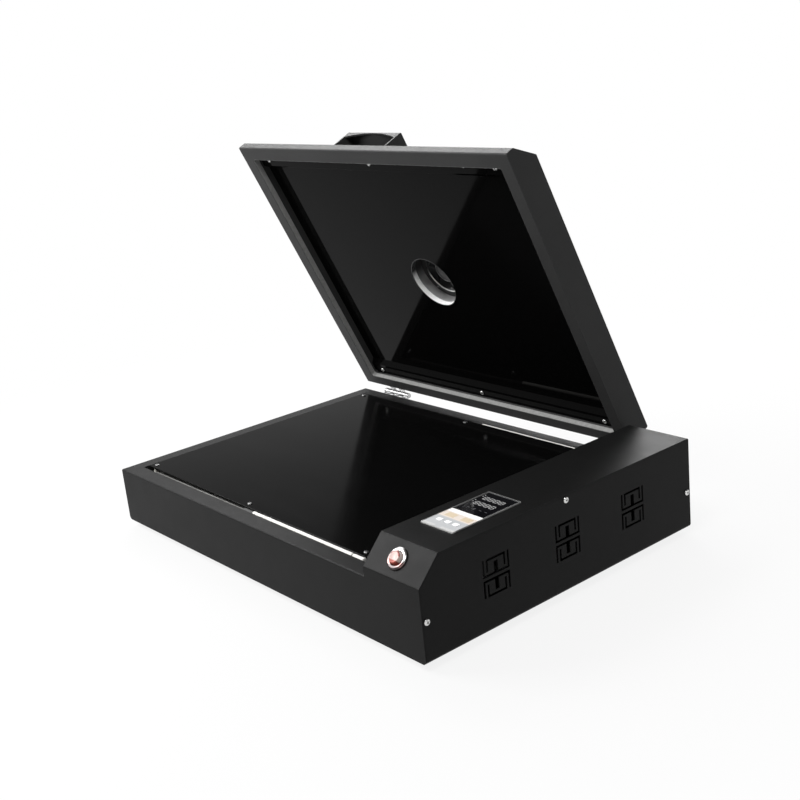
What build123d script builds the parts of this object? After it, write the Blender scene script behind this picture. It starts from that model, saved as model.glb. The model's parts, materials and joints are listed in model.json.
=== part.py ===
from build123d import *

import os
from math import cos, hypot, radians, sin

# Bench oven that cures the powder on A3 transfer film, with its lid standing open.
# Sizes are in millimetres. X runs to the right, Y to the back and Z up. The origin is on the
# surface under the feet, below the centre of the whole object.

os.makedirs("parts", exist_ok=True)

# Case, a low box with a taller control box at its right end
case_width = 588.0
case_depth = 408.5
rim_height = 69.2
case_sheet = 1.5
case_corner = 4.5
case_bend = 1.8
case_flange = 14.0
control_width = 83.6
control_height = 108.2
control_front_height = 80.2
control_chamfer_run = 27.5
seam_gap = 0.2

# Opening in the rim, over the heating plate
opening_left = 18.0
opening_front = 22.2
rim_right = 23.7
rim_back = 18.5
opening_corner = 3.0
opening_fold = 10.0

# Vents in the right wall, a fret of narrow slots
vent_count = 3
vent_spacing = 104.0
vent_middle_z = 58.0
vent_width = 36.7
vent_half_height = 19.0
vent_bar = 3.0
vent_slot = 2.5
vent_web = 2.6
vent_stem = 5.5

# Feet
foot_height = 8.0
foot_radius = 12.5
foot_base_radius = 11.0
foot_inset = 40.0
foot_recess_radius = 5.5
foot_recess_depth = 4.4

# Lid, measured when it is shut: Y from the front of the case and Z from its rim face
open_angle = 65.1
closed_gap = 0.8
lid_side_gap = 5.8
lid_front = 1.2
lid_thickness = 37.3
lid_lip = 11.3
lid_chamfer_run = 24.5
lid_sheet = 1.2
lid_bend = 2.0
lid_opening_left = 19.0
lid_opening_front = 19.0
lid_rim_right = 16.6
lid_rim_back = 15.5
lid_opening_corner = 4.0
lid_ledge = 12.0

# Liner in the lid, a pan with a raised flange along its front and back
liner_sheet = 1.0
liner_flange_depth = 10.4
liner_depth = 16.5
liner_flange_width = 16.0
liner_joggle_run = 6.0
liner_gap = 0.3
liner_screw_left_inset = 19.5
liner_screw_right_inset = 21.0
liner_screw_middle_shift = -2.5
liner_screw_inset = 7.0
ledge_gap = 2.0

# Fan on top of the lid, over a round duct
fan_size = 60.0
fan_thickness = 15.0
fan_corner = 4.0
fan_bore_radius = 28.8
fan_hole_spacing = 50.0
fan_hub_radius = 15.0
fan_hub_wall = 1.4
fan_blade_count = 7
fan_blade_thickness = 0.9
fan_blade_root = (11.0, 48.0)
fan_blade_tip = (16.0, 31.0)
fan_tip_gap = 1.6
fan_shaft_radius = 1.5
fan_hub_edge = 1.0
fan_hub_inset = 0.8
fan_hub_play = 0.6
fan_motor_gap = 0.8
fan_strut_thickness = 1.8
fan_strut_width = 3.0
fan_struts = 3
collar_radius = 35.7
collar_sheet = 0.9
collar_end = 23.5
collar_flange = 6.0
duct_clearance = 9.0
duct_roof_gap = 0.5
roof_hole_radius = 29.6
guard_sheet = 1.0
guard_radii = (24.0, 17.5, 11.0)
guard_half_slot = 2.2
guard_spoke = 4.0
guard_turns = (0, 60, 120)

# Handle on the front of the lid
handle_shift = -4.55
handle_width = 97.5
handle_sheet = 2.0
handle_reach = 42.0
handle_lintel = 10.3
handle_arch = 8.0
handle_bend = 1.5
handle_edge = 1.0
handle_screw_spacing = 64.0
handle_screw_inset = 8.0

# Hinges
hinge_setback = 8.75
hinge_width = 50.0
hinge_sheet = 2.0
hinge_knuckles = 5
hinge_knuckle_gap = 0.4
hinge_pin_radius = 2.0
hinge_running_gap = 0.05
hinge_leaf_height = 32.0
hinge_head_radius = 3.2
hinge_head_height = 1.2
hinge_screw_places = ((-16.0, 14.0), (16.0, 14.0), (0.0, 25.0))
hinge_left_inset = 37.7
hinge_right_inset = 54.6

# Heating plate and what lies under it
plate_side_gap = 5.05
plate_end_gap = 4.95
plate_thickness = 2.0
plate_corner = 4.0
plate_edge = 0.6
plate_screw_side_inset = 9.5
plate_screw_end_inset = 7.2
mat_thickness = 1.5
mat_inset = 4.0
blanket_inset = 6.0
board_thickness = 25.0
pan_sheet = 0.8
pan_floor = 30.0
spacer_radius = 5.0
spacer_bore_radius = 2.2
pass_gap = 0.3
strip_width = 4.3
strip_rises = (-1.2, 0.4, 0.4)
strip_round = 1.9
strip_left_inset = 24.0
strip_break_start = 32.6
strip_break_end = 23.6
strip_right_reach = 2.4
strip_clip_gap = 1.5
clip_shift = 1.15
clip_width = 20.0
clip_sheet = 1.2
clip_reach = 6.5
clip_drop = 11.0
sensor_radius = 1.5
sensor_reach = 36.0
sensor_nut_radius = 5.0
sensor_nut_height = 4.0
partition_inset = 12.4
partition_foot = 12.0

# Power button on the chamfer of the control box
panel_axis = 39.4
button_radius = 12.25
button_rise = 2.6
button_barrel_radius = 9.5
button_length = 28.0
cap_radius = 6.8
cap_gap = 0.4
cap_rise = 6.4
cap_dish_radius = 5.2
cap_dish = 0.7
cap_depth = 6.0
cap_edge = 0.8
bezel_wall = 0.9
bezel_flat_radius = 9.8
bezel_round = 2.6
bezel_lead = 1.2
button_travel = 2.0
button_nut_width = 24.0
button_nut_height = 4.0

# Controller on top of the control box
controller_front = 65.5
controller_width = 48.0
controller_length = 96.0
controller_rise = 1.5
controller_border = 0.9
controller_corner = 1.6
controller_edge = 0.4
controller_case_width = 44.6
controller_case_length = 91.6
controller_case_depth = 60.0
controller_cutout_gap = 0.2
display_length = 52.0
window_drop = 0.3
key_width = 7.5
key_length = 5.5
key_corner = 1.2
key_edge = 0.3
key_rise = 0.4
key_gap = 0.3
key_travel = 0.5
key_xs = (-12.0, 0.5, 12.0)
key_from_front = 15.7
clamp_width = 10.0
clamp_sheet = 1.5
clamp_toe = 4.5
clamp_rise = 3.0
clamp_length = 18.0

# Electrical parts inside the control box and on its back
inlet_width = 27.0
inlet_height = 19.5
inlet_flange_width = 48.0
inlet_flange_height = 23.5
inlet_flange_corner = 6.0
inlet_flange_thickness = 3.0
inlet_chamfer = 4.0
inlet_depth = 24.0
socket_wall = 2.0
socket_chamfer = 3.5
socket_depth = 16.0
contact_width = 2.0
contact_height = 5.0
contact_length = 13.0
contact_places = ((-7.0, -2.0), (7.0, -2.0), (0.0, 2.0))
inlet_hole_spacing = 40.0
inlet_z = 46.0
relay_width = 45.0
relay_length = 58.0
relay_height = 23.0
relay_corner = 2.0
relay_end = 10.0
sink_length = 80.0
sink_width = 54.0
sink_height = 24.0
sink_base = 5.0
sink_fins = 9
sink_fin = 1.8
sink_front = 232.0
block_width = 22.0
block_length = 58.0
block_height = 16.0
block_ways = 6
way_wall = 2.0
way_depth = 5.6
block_front = 165.0
grommet_from_hinge = 64.0
grommet_radius = 8.0
grommet_bore_radius = 4.0
grommet_lip = 1.6
grommet_hole_radius = 6.5

# Screws
screw_gap = 0.1
small_shank = 1.4
medium_shank = 1.9
medium_head = 3.5
medium_rise = 2.0
liner_head = 3.0
inlet_head = 2.8
fan_head = 2.6
small_rise = 1.6
head_edge_share = 0.45
head_crown_share = 0.62
point_share = 0.5
side_screw_reach = 2.0
foot_screw_reach = 6.0
plate_screw_reach = 14.0
inlet_screw_reach = 4.0
liner_screw_reach = 4.0
handle_screw_reach = 4.0
hinge_screw_reach = 3.0
side_screw_edge = 6.0
side_screw_z = 44.5

# Places that follow from the sizes above
control_left = case_width - control_width
panel_x = control_left + panel_axis
chamfer_rise = control_height - control_front_height
chamfer_length = hypot(control_chamfer_run, chamfer_rise)
opening_right = control_left - rim_right
opening_back = case_depth - rim_back
opening_width = opening_right - opening_left
opening_depth = opening_back - opening_front
partition_x = control_left - partition_inset
lid_width = control_left - lid_side_gap
lid_opening_right = lid_width - lid_rim_right
lid_opening_back = case_depth - lid_rim_back
lid_opening_width = lid_opening_right - lid_opening_left
lid_opening_depth = lid_opening_back - lid_opening_front
lid_roof = lid_thickness - lid_sheet
hinge_y = case_depth + hinge_setback
hinge_z = rim_height + closed_gap / 2
angle = radians(open_angle)
lid_reach = (
    hinge_y
    + (case_depth - lid_bend - hinge_y) * cos(angle)
    + (lid_thickness - lid_bend + closed_gap / 2) * sin(angle)
    + lid_bend
)
plate_under = rim_height
plate_left = opening_left + plate_side_gap
plate_right = opening_right - plate_side_gap
plate_front = opening_front + plate_end_gap
plate_back = opening_back - plate_end_gap
plate_width = plate_right - plate_left
plate_depth = plate_back - plate_front
plate_middle = (plate_left + plate_width / 2, plate_front + plate_depth / 2)
opening_middle = (opening_left + opening_width / 2, opening_front + opening_depth / 2)
lid_opening_middle = (
    lid_opening_left + lid_opening_width / 2,
    lid_opening_front + lid_opening_depth / 2,
)
fan_x, fan_y = lid_opening_middle
handle_left = (lid_width - handle_width) / 2 + handle_shift
hinge_lefts = {"left": hinge_left_inset, "right": lid_width - hinge_right_inset}
grommet_x = hinge_lefts["right"] - grommet_from_hinge
clip_left = opening_middle[0] + clip_shift
sensor_y = plate_middle[1]
strip_spans = (
    (plate_left + strip_left_inset, clip_left - strip_clip_gap),
    (clip_left + clip_width + strip_clip_gap, plate_right - strip_break_start),
    (plate_right - strip_break_end, plate_right + strip_right_reach),
)
fan_face = lid_thickness
fan_back = fan_face + fan_thickness
motor_back = fan_back - fan_strut_thickness
margin = 5.0

# Frame of the case: its front left bottom corner
case = Plane(origin=(-case_width / 2, -lid_reach / 2, foot_height))

# Frame of the lid, which reads the same as the case's when the lid is shut
lid_back_dir = Vector(0, cos(angle), -sin(angle))
lid_up_dir = Vector(0, sin(angle), cos(angle))
hinge_point = case.from_local_coords(Vector(0, hinge_y, hinge_z))
lid_corner = hinge_point - lid_back_dir * hinge_y + lid_up_dir * (closed_gap / 2)
lid = Plane(origin=lid_corner, x_dir=(1, 0, 0), z_dir=lid_up_dir)


def at(frame, x, y, z=0.0):
    """The frame moved to a place given in its own sizes."""
    return Plane(origin=frame.from_local_coords(Vector(x, y, z)), x_dir=frame.x_dir, z_dir=frame.z_dir)


def across(frame, x):
    """Plane square to X: sketch x runs to the back and sketch y up."""
    return Plane(origin=frame.from_local_coords(Vector(x, 0, 0)), x_dir=frame.y_dir, z_dir=frame.x_dir)


def facing(frame, y):
    """Plane square to Y that looks to the front: sketch x runs to the right and sketch y up."""
    return Plane(origin=frame.from_local_coords(Vector(0, y, 0)), x_dir=frame.x_dir, z_dir=-frame.y_dir)


def backing(frame, x, y, z):
    """Plane on a back wall, with its normal to the back and its sketch y up."""
    return Plane(
        origin=frame.from_local_coords(Vector(x, y, z)), x_dir=-frame.x_dir, z_dir=frame.y_dir
    )


def turned(*profile):
    """Solid turned about Z from points of radius and height."""
    with BuildPart() as piece:
        with BuildSketch(Plane.XZ):
            Polygon(*profile, align=None)
        revolve(axis=Axis.Z)
    return piece.part


def pan_screw(head_radius, head_rise, shank_radius, length):
    """Screw with the seat of its head at z = 0 and its shank below."""
    point_radius = shank_radius * point_share
    return turned(
        (0, -length),
        (point_radius, -length),
        (shank_radius, -length + shank_radius - point_radius),
        (shank_radius, 0),
        (head_radius, 0),
        (head_radius, head_rise * head_edge_share),
        (head_radius * head_crown_share, head_rise),
        (0, head_rise),
    )


def chamfer_z(y, inset):
    """Height of the control box's chamfer at y, with its face moved in by inset."""
    slope = chamfer_rise / control_chamfer_run
    return control_front_height + slope * y - inset * chamfer_length / control_chamfer_run


def control_outline(inset):
    """Side view of the control box with every edge moved in."""
    roof = control_height - inset
    slope = chamfer_rise / control_chamfer_run
    chamfer_y = (roof - chamfer_z(0, inset)) / slope
    return (
        (inset, inset),
        (case_depth - inset, inset),
        (case_depth - inset, roof),
        (chamfer_y, roof),
        (inset, chamfer_z(inset, inset)),
    )


def case_volume(side, ends, bottom, top, corner, bend):
    """The L-shaped volume of the case, with each group of faces moved in by its own amount."""
    left = side
    right = case_width - side
    step = control_left + top
    rim = rim_height - top
    roof = control_height - top
    near = -case_depth / 4
    far = case_depth / 4
    with BuildPart() as volume:
        with BuildSketch(facing(case, ends)) as section:
            Polygon(
                (left, bottom), (right, bottom), (right, roof),
                (step, roof), (step, rim), (left, rim), align=None,
            )
            if corner > 0:
                fillet(section.vertices().group_by(Axis.Y)[0], radius=corner)
        extrude(amount=-(case_depth - 2 * ends))
        with BuildSketch(across(case, -margin)):
            Polygon(
                (near, chamfer_z(near, top)), (far, chamfer_z(far, top)),
                (near, chamfer_z(far, top)), align=None,
            )
        extrude(amount=case_width + 2 * margin, mode=Mode.SUBTRACT)
        if bend > 0:
            low_fold = case.origin.Z + rim - margin
            high_fold = case.origin.Z + roof + margin
            folds = volume.edges().filter_by(Axis.X).filter_by_position(Axis.Z, low_fold, high_fold)
            fillet(folds, radius=bend)
    return volume.part


def wrap_volume(outside, clearance):
    """The U of the wrap: left wall, bottom and right wall between the front and the back."""
    block = case_volume(
        outside, case_sheet + clearance, outside, case_sheet + clearance,
        case_corner if outside == 0 else 0, 0,
    )
    hollow = case_volume(case_sheet, 0, case_sheet, -margin, case_corner - case_sheet, 0)
    with BuildPart() as volume:
        add(block)
        add(hollow, mode=Mode.SUBTRACT)
    return volume.part


def fret():
    """One vent: two halves that mirror each other over a plain bar."""
    half_width = vent_width / 2
    inner_half = half_width - vent_slot - vent_web
    foot = vent_bar / 2
    head = foot + vent_half_height
    with BuildSketch() as slots:
        for sign in (1, -1):
            spans = [
                (-half_width, half_width, foot, foot + vent_slot),
                (-half_width, -half_width + vent_slot, foot, head),
                (half_width - vent_slot, half_width, foot, head),
                (-vent_stem / 2, vent_stem / 2, foot, head - vent_slot - vent_web),
                (-inner_half, inner_half, head - vent_slot, head),
                (-inner_half, -inner_half + vent_slot, foot + vent_slot + vent_web, head),
                (inner_half - vent_slot, inner_half, foot + vent_slot + vent_web, head),
            ]
            for left, right, low, high in spans:
                with Locations(((left + right) / 2, sign * (low + high) / 2)):
                    Rectangle(right - left, high - low)
    return slots.sketch


# Where screws go
side_screw_places = {
    "right": ((side_screw_edge, side_screw_z), (case_depth / 2, control_height - side_screw_edge),
              (case_depth - side_screw_edge, side_screw_z)),
    "left": ((side_screw_edge, side_screw_z), (case_depth / 2, rim_height - side_screw_edge),
             (case_depth - side_screw_edge, side_screw_z)),
}
side_screw_seats = []
for y, z in side_screw_places["right"]:
    side_screw_seats.append(
        Plane(origin=case.from_local_coords(Vector(case_width, y, z)), x_dir=(0, 1, 0), z_dir=(1, 0, 0))
    )
for y, z in side_screw_places["left"]:
    side_screw_seats.append(
        Plane(origin=case.from_local_coords(Vector(0, y, z)), x_dir=(0, -1, 0), z_dir=(-1, 0, 0))
    )
foot_places = [
    (x, y)
    for x in (foot_inset, case_width - foot_inset)
    for y in (foot_inset, case_depth - foot_inset)
]
foot_seats = [
    Plane(origin=case.from_local_coords(Vector(x, y, -foot_height + foot_recess_depth)),
          x_dir=(1, 0, 0), z_dir=(0, 0, -1))
    for x, y in foot_places
]
hinge_middles = [left + hinge_width / 2 for left in hinge_lefts.values()]
base_hinge_seats = [
    backing(case, middle + dx, case_depth + hinge_sheet, hinge_z - dz)
    for middle in hinge_middles
    for dx, dz in hinge_screw_places
]
lid_hinge_seats = [
    backing(lid, middle + dx, case_depth + hinge_sheet, dz)
    for middle in hinge_middles
    for dx, dz in hinge_screw_places
]
plate_spots = [
    (x, y)
    for x in (plate_left + plate_screw_side_inset, plate_middle[0], plate_right - plate_screw_side_inset)
    for y in (plate_front + plate_screw_end_inset, plate_back - plate_screw_end_inset)
]

# Body shell: front, rim, control box and back, with flanges inside the wrap
case_outside = case_volume(0, 0, 0, 0, case_corner, case_bend)
case_inside = case_volume(
    2 * case_sheet, case_sheet, 2 * case_sheet, case_sheet,
    case_corner - 2 * case_sheet, case_bend - case_sheet,
)
wrap_pocket = wrap_volume(-margin, 0)
button_face = Plane(
    origin=case.from_local_coords(
        Vector(panel_x, control_chamfer_run / 2, control_front_height + chamfer_rise / 2)
    ),
    x_dir=(1, 0, 0),
    z_dir=(0, -chamfer_rise, control_chamfer_run),
)
controller_spot = at(case, panel_x, controller_front + controller_length / 2, control_height)
inlet_spot = backing(case, panel_x, case_depth, inlet_z)
base_grommet_spot = backing(case, grommet_x, case_depth, inlet_z)
lid_grommet_spot = backing(lid, grommet_x, case_depth, lid_thickness / 2)
window_border = case_sheet + case_flange

with BuildPart() as body_shell:
    add(case_outside)
    add(case_inside, mode=Mode.SUBTRACT)
    add(wrap_pocket, mode=Mode.SUBTRACT)
    # windows that leave a flange round each side and the bottom
    with BuildSketch(across(case, -margin)):
        with Locations((case_depth / 2, (rim_height + case_sheet) / 2)):
            Rectangle(
                case_depth - 2 * window_border,
                rim_height - case_sheet - 2 * window_border,
            )
    extrude(amount=3 * case_sheet + margin, mode=Mode.SUBTRACT)
    with BuildSketch(across(case, case_width + margin)):
        Polygon(*control_outline(window_border), align=None)
    extrude(amount=-(3 * case_sheet + margin), mode=Mode.SUBTRACT)
    with BuildSketch(case.offset(-margin)):
        with Locations((case_width / 2, case_depth / 2)):
            Rectangle(case_width - 2 * window_border, case_depth - 2 * window_border)
    extrude(amount=3 * case_sheet + margin, mode=Mode.SUBTRACT)
    # fold that hangs round the opening
    with BuildSketch(case.offset(rim_height - case_sheet)):
        with Locations(opening_middle):
            RectangleRounded(
                opening_width + 2 * case_sheet, opening_depth + 2 * case_sheet,
                opening_corner + case_sheet,
            )
    extrude(amount=-(opening_fold - case_sheet))
    with BuildSketch(case.offset(rim_height + margin)):
        with Locations(opening_middle):
            RectangleRounded(opening_width, opening_depth, opening_corner)
    extrude(amount=-(opening_fold + 2 * margin), mode=Mode.SUBTRACT)
    # holes for the button, the controller, the inlet, the grommet and the screws
    with Locations(button_face):
        Hole(radius=button_barrel_radius + screw_gap, depth=3 * case_sheet)
    with BuildSketch(controller_spot):
        Rectangle(
            controller_case_width + 2 * controller_cutout_gap,
            controller_case_length + 2 * controller_cutout_gap,
        )
    extrude(amount=-2 * case_sheet, mode=Mode.SUBTRACT)
    with BuildSketch(inlet_spot):
        Rectangle(inlet_width + 2 * screw_gap, inlet_height + 2 * screw_gap)
    extrude(amount=-2 * case_sheet, mode=Mode.SUBTRACT)
    with BuildSketch(inlet_spot):
        with GridLocations(inlet_hole_spacing, 0, 2, 1):
            Circle(small_shank + screw_gap)
    extrude(amount=-2 * case_sheet, mode=Mode.SUBTRACT)
    with Locations(base_grommet_spot):
        Hole(radius=grommet_hole_radius + screw_gap, depth=2 * case_sheet)
    with Locations(*side_screw_seats, *base_hinge_seats):
        Hole(radius=medium_shank + screw_gap, depth=4 * case_sheet)
body_shell.part.label = "body_shell"
export_step(body_shell.part, "parts/body_shell.step")

# Wrap: left wall, bottom and right wall with the vents
wrap_body = wrap_volume(0, seam_gap)
fret_slots = fret()
with BuildPart() as wrap:
    add(wrap_body)
    with BuildSketch(across(case, case_width + margin)):
        with Locations((case_depth / 2, vent_middle_z)):
            with GridLocations(vent_spacing, 0, vent_count, 1):
                add(fret_slots)
    extrude(amount=-(2 * case_sheet + margin), mode=Mode.SUBTRACT)
    with Locations(*side_screw_seats):
        Hole(radius=medium_shank + screw_gap, depth=2 * case_sheet)
    with BuildSketch(case.offset(-margin)):
        with Locations(*foot_places):
            Circle(medium_shank + screw_gap)
    extrude(amount=2 * margin, mode=Mode.SUBTRACT)
wrap.part.label = "wrap"
export_step(wrap.part, "parts/wrap.step")

side_screw = pan_screw(medium_head, medium_rise, medium_shank, 3 * case_sheet + side_screw_reach)
with BuildPart() as side_screws:
    with Locations(*side_screw_seats):
        add(side_screw)
side_screws.part.label = "side_screws"
export_step(side_screws.part, "parts/side_screws.step")

# Feet: rubber, with the screw head in a recess
foot = turned(
    (medium_shank + screw_gap, foot_recess_depth),
    (foot_recess_radius, foot_recess_depth),
    (foot_recess_radius, 0),
    (foot_base_radius, 0),
    (foot_radius, foot_height),
    (medium_shank + screw_gap, foot_height),
)
with BuildPart() as rubber_feet:
    with Locations(*[at(case, x, y, -foot_height) for x, y in foot_places]):
        add(foot)
rubber_feet.part.label = "rubber_feet"
export_step(rubber_feet.part, "parts/rubber_feet.step")

foot_screw_length = foot_height - foot_recess_depth + foot_screw_reach
foot_screw = pan_screw(medium_head, medium_rise, medium_shank, foot_screw_length)
with BuildPart() as foot_screws:
    with Locations(*foot_seats):
        add(foot_screw)
foot_screws.part.label = "foot_screws"
export_step(foot_screws.part, "parts/foot_screws.step")

# Heating plate with its mat, insulation, spacers and pan
mat_under = plate_under - mat_thickness
board_low = pan_floor + pan_sheet
board_top = board_low + board_thickness
plate_hole = medium_shank + screw_gap

with BuildPart() as heating_plate:
    with BuildSketch(case.offset(plate_under)):
        with Locations(plate_middle):
            RectangleRounded(plate_width, plate_depth, plate_corner)
        with Locations(*plate_spots):
            Circle(plate_hole, mode=Mode.SUBTRACT)
    extrude(amount=plate_thickness)
    fillet(heating_plate.faces().sort_by(Axis.Z)[-1].outer_wire().edges(), radius=plate_edge)
heating_plate.part.label = "heating_plate"
export_step(heating_plate.part, "parts/heating_plate.step")

plate_screw = pan_screw(medium_head, medium_rise, medium_shank, plate_thickness + plate_screw_reach)
with BuildPart() as plate_screws:
    with Locations(*[at(case, x, y, plate_under + plate_thickness) for x, y in plate_spots]):
        add(plate_screw)
plate_screws.part.label = "plate_screws"
export_step(plate_screws.part, "parts/plate_screws.step")

with BuildPart() as heater_mat:
    with BuildSketch(case.offset(mat_under)):
        with Locations(plate_middle):
            RectangleRounded(plate_width - 2 * mat_inset, plate_depth - 2 * mat_inset, plate_corner)
        with Locations(*plate_spots):
            Circle(spacer_radius + pass_gap, mode=Mode.SUBTRACT)
    extrude(amount=mat_thickness)
heater_mat.part.label = "heater_mat"
export_step(heater_mat.part, "parts/heater_mat.step")

sensor_z = (board_top + rim_height - opening_fold) / 2
with BuildPart() as insulation_blanket:
    with BuildSketch(case.offset(board_top)):
        with Locations(plate_middle):
            RectangleRounded(
                plate_width - 2 * blanket_inset, plate_depth - 2 * blanket_inset, plate_corner
            )
        with Locations(*plate_spots):
            Circle(spacer_radius + pass_gap, mode=Mode.SUBTRACT)
    extrude(amount=mat_under - board_top)
    # groove for the sensor
    with BuildSketch(across(case, plate_right - sensor_reach - pass_gap)):
        with Locations((sensor_y, sensor_z)):
            Circle(sensor_radius + pass_gap)
        with Locations((sensor_y, (sensor_z + board_top) / 2)):
            Rectangle(2 * (sensor_radius + pass_gap), sensor_z - board_top)
    extrude(amount=sensor_reach + margin, mode=Mode.SUBTRACT)
insulation_blanket.part.label = "insulation_blanket"
export_step(insulation_blanket.part, "parts/insulation_blanket.step")

with BuildPart() as insulation_board:
    with BuildSketch(case.offset(board_low)):
        with Locations(opening_middle):
            RectangleRounded(
                opening_width + 2 * case_sheet - 2 * pass_gap,
                opening_depth + 2 * case_sheet - 2 * pass_gap,
                opening_corner + case_sheet,
            )
        with Locations(*plate_spots):
            Circle(spacer_radius + pass_gap, mode=Mode.SUBTRACT)
    extrude(amount=board_thickness)
insulation_board.part.label = "insulation_board"
export_step(insulation_board.part, "parts/insulation_board.step")

spacer = turned(
    (spacer_bore_radius, board_low),
    (spacer_radius, board_low),
    (spacer_radius, plate_under),
    (spacer_bore_radius, plate_under),
)
with BuildPart() as plate_spacers:
    with Locations(*[at(case, x, y) for x, y in plate_spots]):
        add(spacer)
plate_spacers.part.label = "plate_spacers"
export_step(plate_spacers.part, "parts/plate_spacers.step")

with BuildPart() as heat_pan:
    with BuildSketch(case.offset(pan_floor)):
        with Locations(opening_middle):
            RectangleRounded(
                opening_width + 2 * (case_sheet + pan_sheet),
                opening_depth + 2 * (case_sheet + pan_sheet),
                opening_corner + case_sheet + pan_sheet,
            )
    extrude(amount=rim_height - case_sheet - pan_floor)
    with BuildSketch(case.offset(board_low)):
        with Locations(opening_middle):
            RectangleRounded(
                opening_width + 2 * case_sheet, opening_depth + 2 * case_sheet,
                opening_corner + case_sheet,
            )
    extrude(amount=rim_height, mode=Mode.SUBTRACT)
    with BuildSketch(across(case, opening_right)):
        with Locations((sensor_y, sensor_z)):
            Circle(sensor_radius + pass_gap)
    extrude(amount=2 * margin, mode=Mode.SUBTRACT)
heat_pan.part.label = "heat_pan"
export_step(heat_pan.part, "parts/heat_pan.step")

# White strips in the gap round the plate, with rounded tops
strip_front = opening_front + (plate_front - opening_front - strip_width) / 2
strip_back = plate_back + (opening_back - plate_back - strip_width) / 2
with BuildPart() as insulation_strips:
    for low_y in (strip_front, strip_back):
        for (left, right), strip_rise in zip(strip_spans, strip_rises):
            strip_top = rim_height + strip_rise
            with BuildSketch(across(case, left)) as strip_end:
                with Locations((low_y + strip_width / 2, (board_top + strip_top) / 2)):
                    Rectangle(strip_width, strip_top - board_top)
                fillet(strip_end.vertices().group_by(Axis.Y)[-1], radius=strip_round)
            extrude(amount=right - left)
insulation_strips.part.label = "insulation_strips"
export_step(insulation_strips.part, "parts/insulation_strips.step")

# Clips that hold the middle of the plate's long edges up from the fold
with BuildPart() as plate_clips:
    for wall_y, sign in ((opening_front, 1), (opening_back, -1)):
        with BuildSketch(across(case, clip_left)):
            Polygon(
                (wall_y, plate_under),
                (wall_y, plate_under - clip_drop),
                (wall_y + sign * clip_sheet, plate_under - clip_drop),
                (wall_y + sign * clip_sheet, plate_under - clip_sheet),
                (wall_y + sign * clip_reach, plate_under - clip_sheet),
                (wall_y + sign * clip_reach, plate_under),
                align=None,
            )
        extrude(amount=clip_width)
plate_clips.part.label = "plate_clips"
export_step(plate_clips.part, "parts/plate_clips.step")

# Sensor under the plate, held in the partition by its nut
sensor_tip = plate_right - sensor_reach
sensor_end = partition_x + case_sheet + sensor_nut_height
with BuildPart() as temperature_sensor:
    with BuildSketch(across(case, sensor_tip)):
        with Locations((sensor_y, sensor_z)):
            Circle(sensor_radius)
    extrude(amount=sensor_end - sensor_tip)
    with BuildSketch(across(case, partition_x + case_sheet)):
        with Locations((sensor_y, sensor_z)):
            RegularPolygon(sensor_nut_radius, 6)
    extrude(amount=sensor_nut_height)
temperature_sensor.part.label = "temperature_sensor"
export_step(temperature_sensor.part, "parts/temperature_sensor.step")

# Partition between the hot side and the control box
with BuildPart() as partition:
    with BuildSketch(facing(case, case_sheet)):
        Polygon(
            (partition_x, rim_height - 2 * case_sheet),
            (partition_x, 2 * case_sheet),
            (partition_x + partition_foot, 2 * case_sheet),
            (partition_x + partition_foot, 3 * case_sheet),
            (partition_x + case_sheet, 3 * case_sheet),
            (partition_x + case_sheet, rim_height - 2 * case_sheet),
            align=None,
        )
    extrude(amount=-(case_depth - 2 * case_sheet))
    with BuildSketch(across(case, partition_x - margin)):
        with Locations((sensor_y, sensor_z)):
            Circle(sensor_radius + pass_gap)
    extrude(amount=2 * margin + case_sheet, mode=Mode.SUBTRACT)
partition.part.label = "partition"
export_step(partition.part, "parts/partition.step")

# Power button
barrel_bore = cap_radius + cap_gap
with BuildPart(button_face) as button_bezel:
    with BuildSketch(Plane(origin=button_face.origin, x_dir=button_face.x_dir, z_dir=-button_face.y_dir)):
        with BuildLine():
            Polyline(
                (barrel_bore, -cap_depth - button_travel),
                (0, -cap_depth - button_travel),
                (0, -button_length),
                (button_barrel_radius, -button_length),
                (button_barrel_radius, 0),
                (button_radius, 0),
                (button_radius, bezel_wall),
            )
            RadiusArc((button_radius, bezel_wall), (bezel_flat_radius, button_rise), -bezel_round)
            Polyline(
                (bezel_flat_radius, button_rise),
                (barrel_bore + bezel_lead, button_rise),
                (barrel_bore, button_rise - bezel_lead),
                (barrel_bore, -cap_depth - button_travel),
            )
        make_face()
    revolve(axis=Axis(button_face.origin, button_face.z_dir))
button_bezel.part.label = "button_bezel"
export_step(button_bezel.part, "parts/button_bezel.step")

cap = turned(
    (0, -cap_depth),
    (cap_radius, -cap_depth),
    (cap_radius, cap_rise - cap_edge),
    (cap_radius - cap_edge, cap_rise),
    (cap_dish_radius, cap_rise),
    (0, cap_rise - cap_dish),
)
with BuildPart() as button_cap:
    with Locations(button_face):
        add(cap)
button_cap.part.label = "button_cap"
export_step(button_cap.part, "parts/button_cap.step")

with BuildPart() as button_nut:
    with BuildSketch(button_face.offset(-case_sheet)):
        RegularPolygon(button_nut_width / 2, 6, major_radius=False)
        Circle(button_barrel_radius + screw_gap, mode=Mode.SUBTRACT)
    extrude(amount=-button_nut_height)
button_nut.part.label = "button_nut"
export_step(button_nut.part, "parts/button_nut.step")

# Controller
frame_inner_width = controller_width - 2 * controller_border
frame_inner_length = controller_length - 2 * controller_border
keypad_length = frame_inner_length - display_length
keypad_middle = -frame_inner_length / 2 + keypad_length / 2
display_middle = frame_inner_length / 2 - display_length / 2
window_height = controller_rise - window_drop
key_y = -controller_length / 2 + key_from_front
key_places = [(x, key_y) for x in key_xs]

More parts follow.
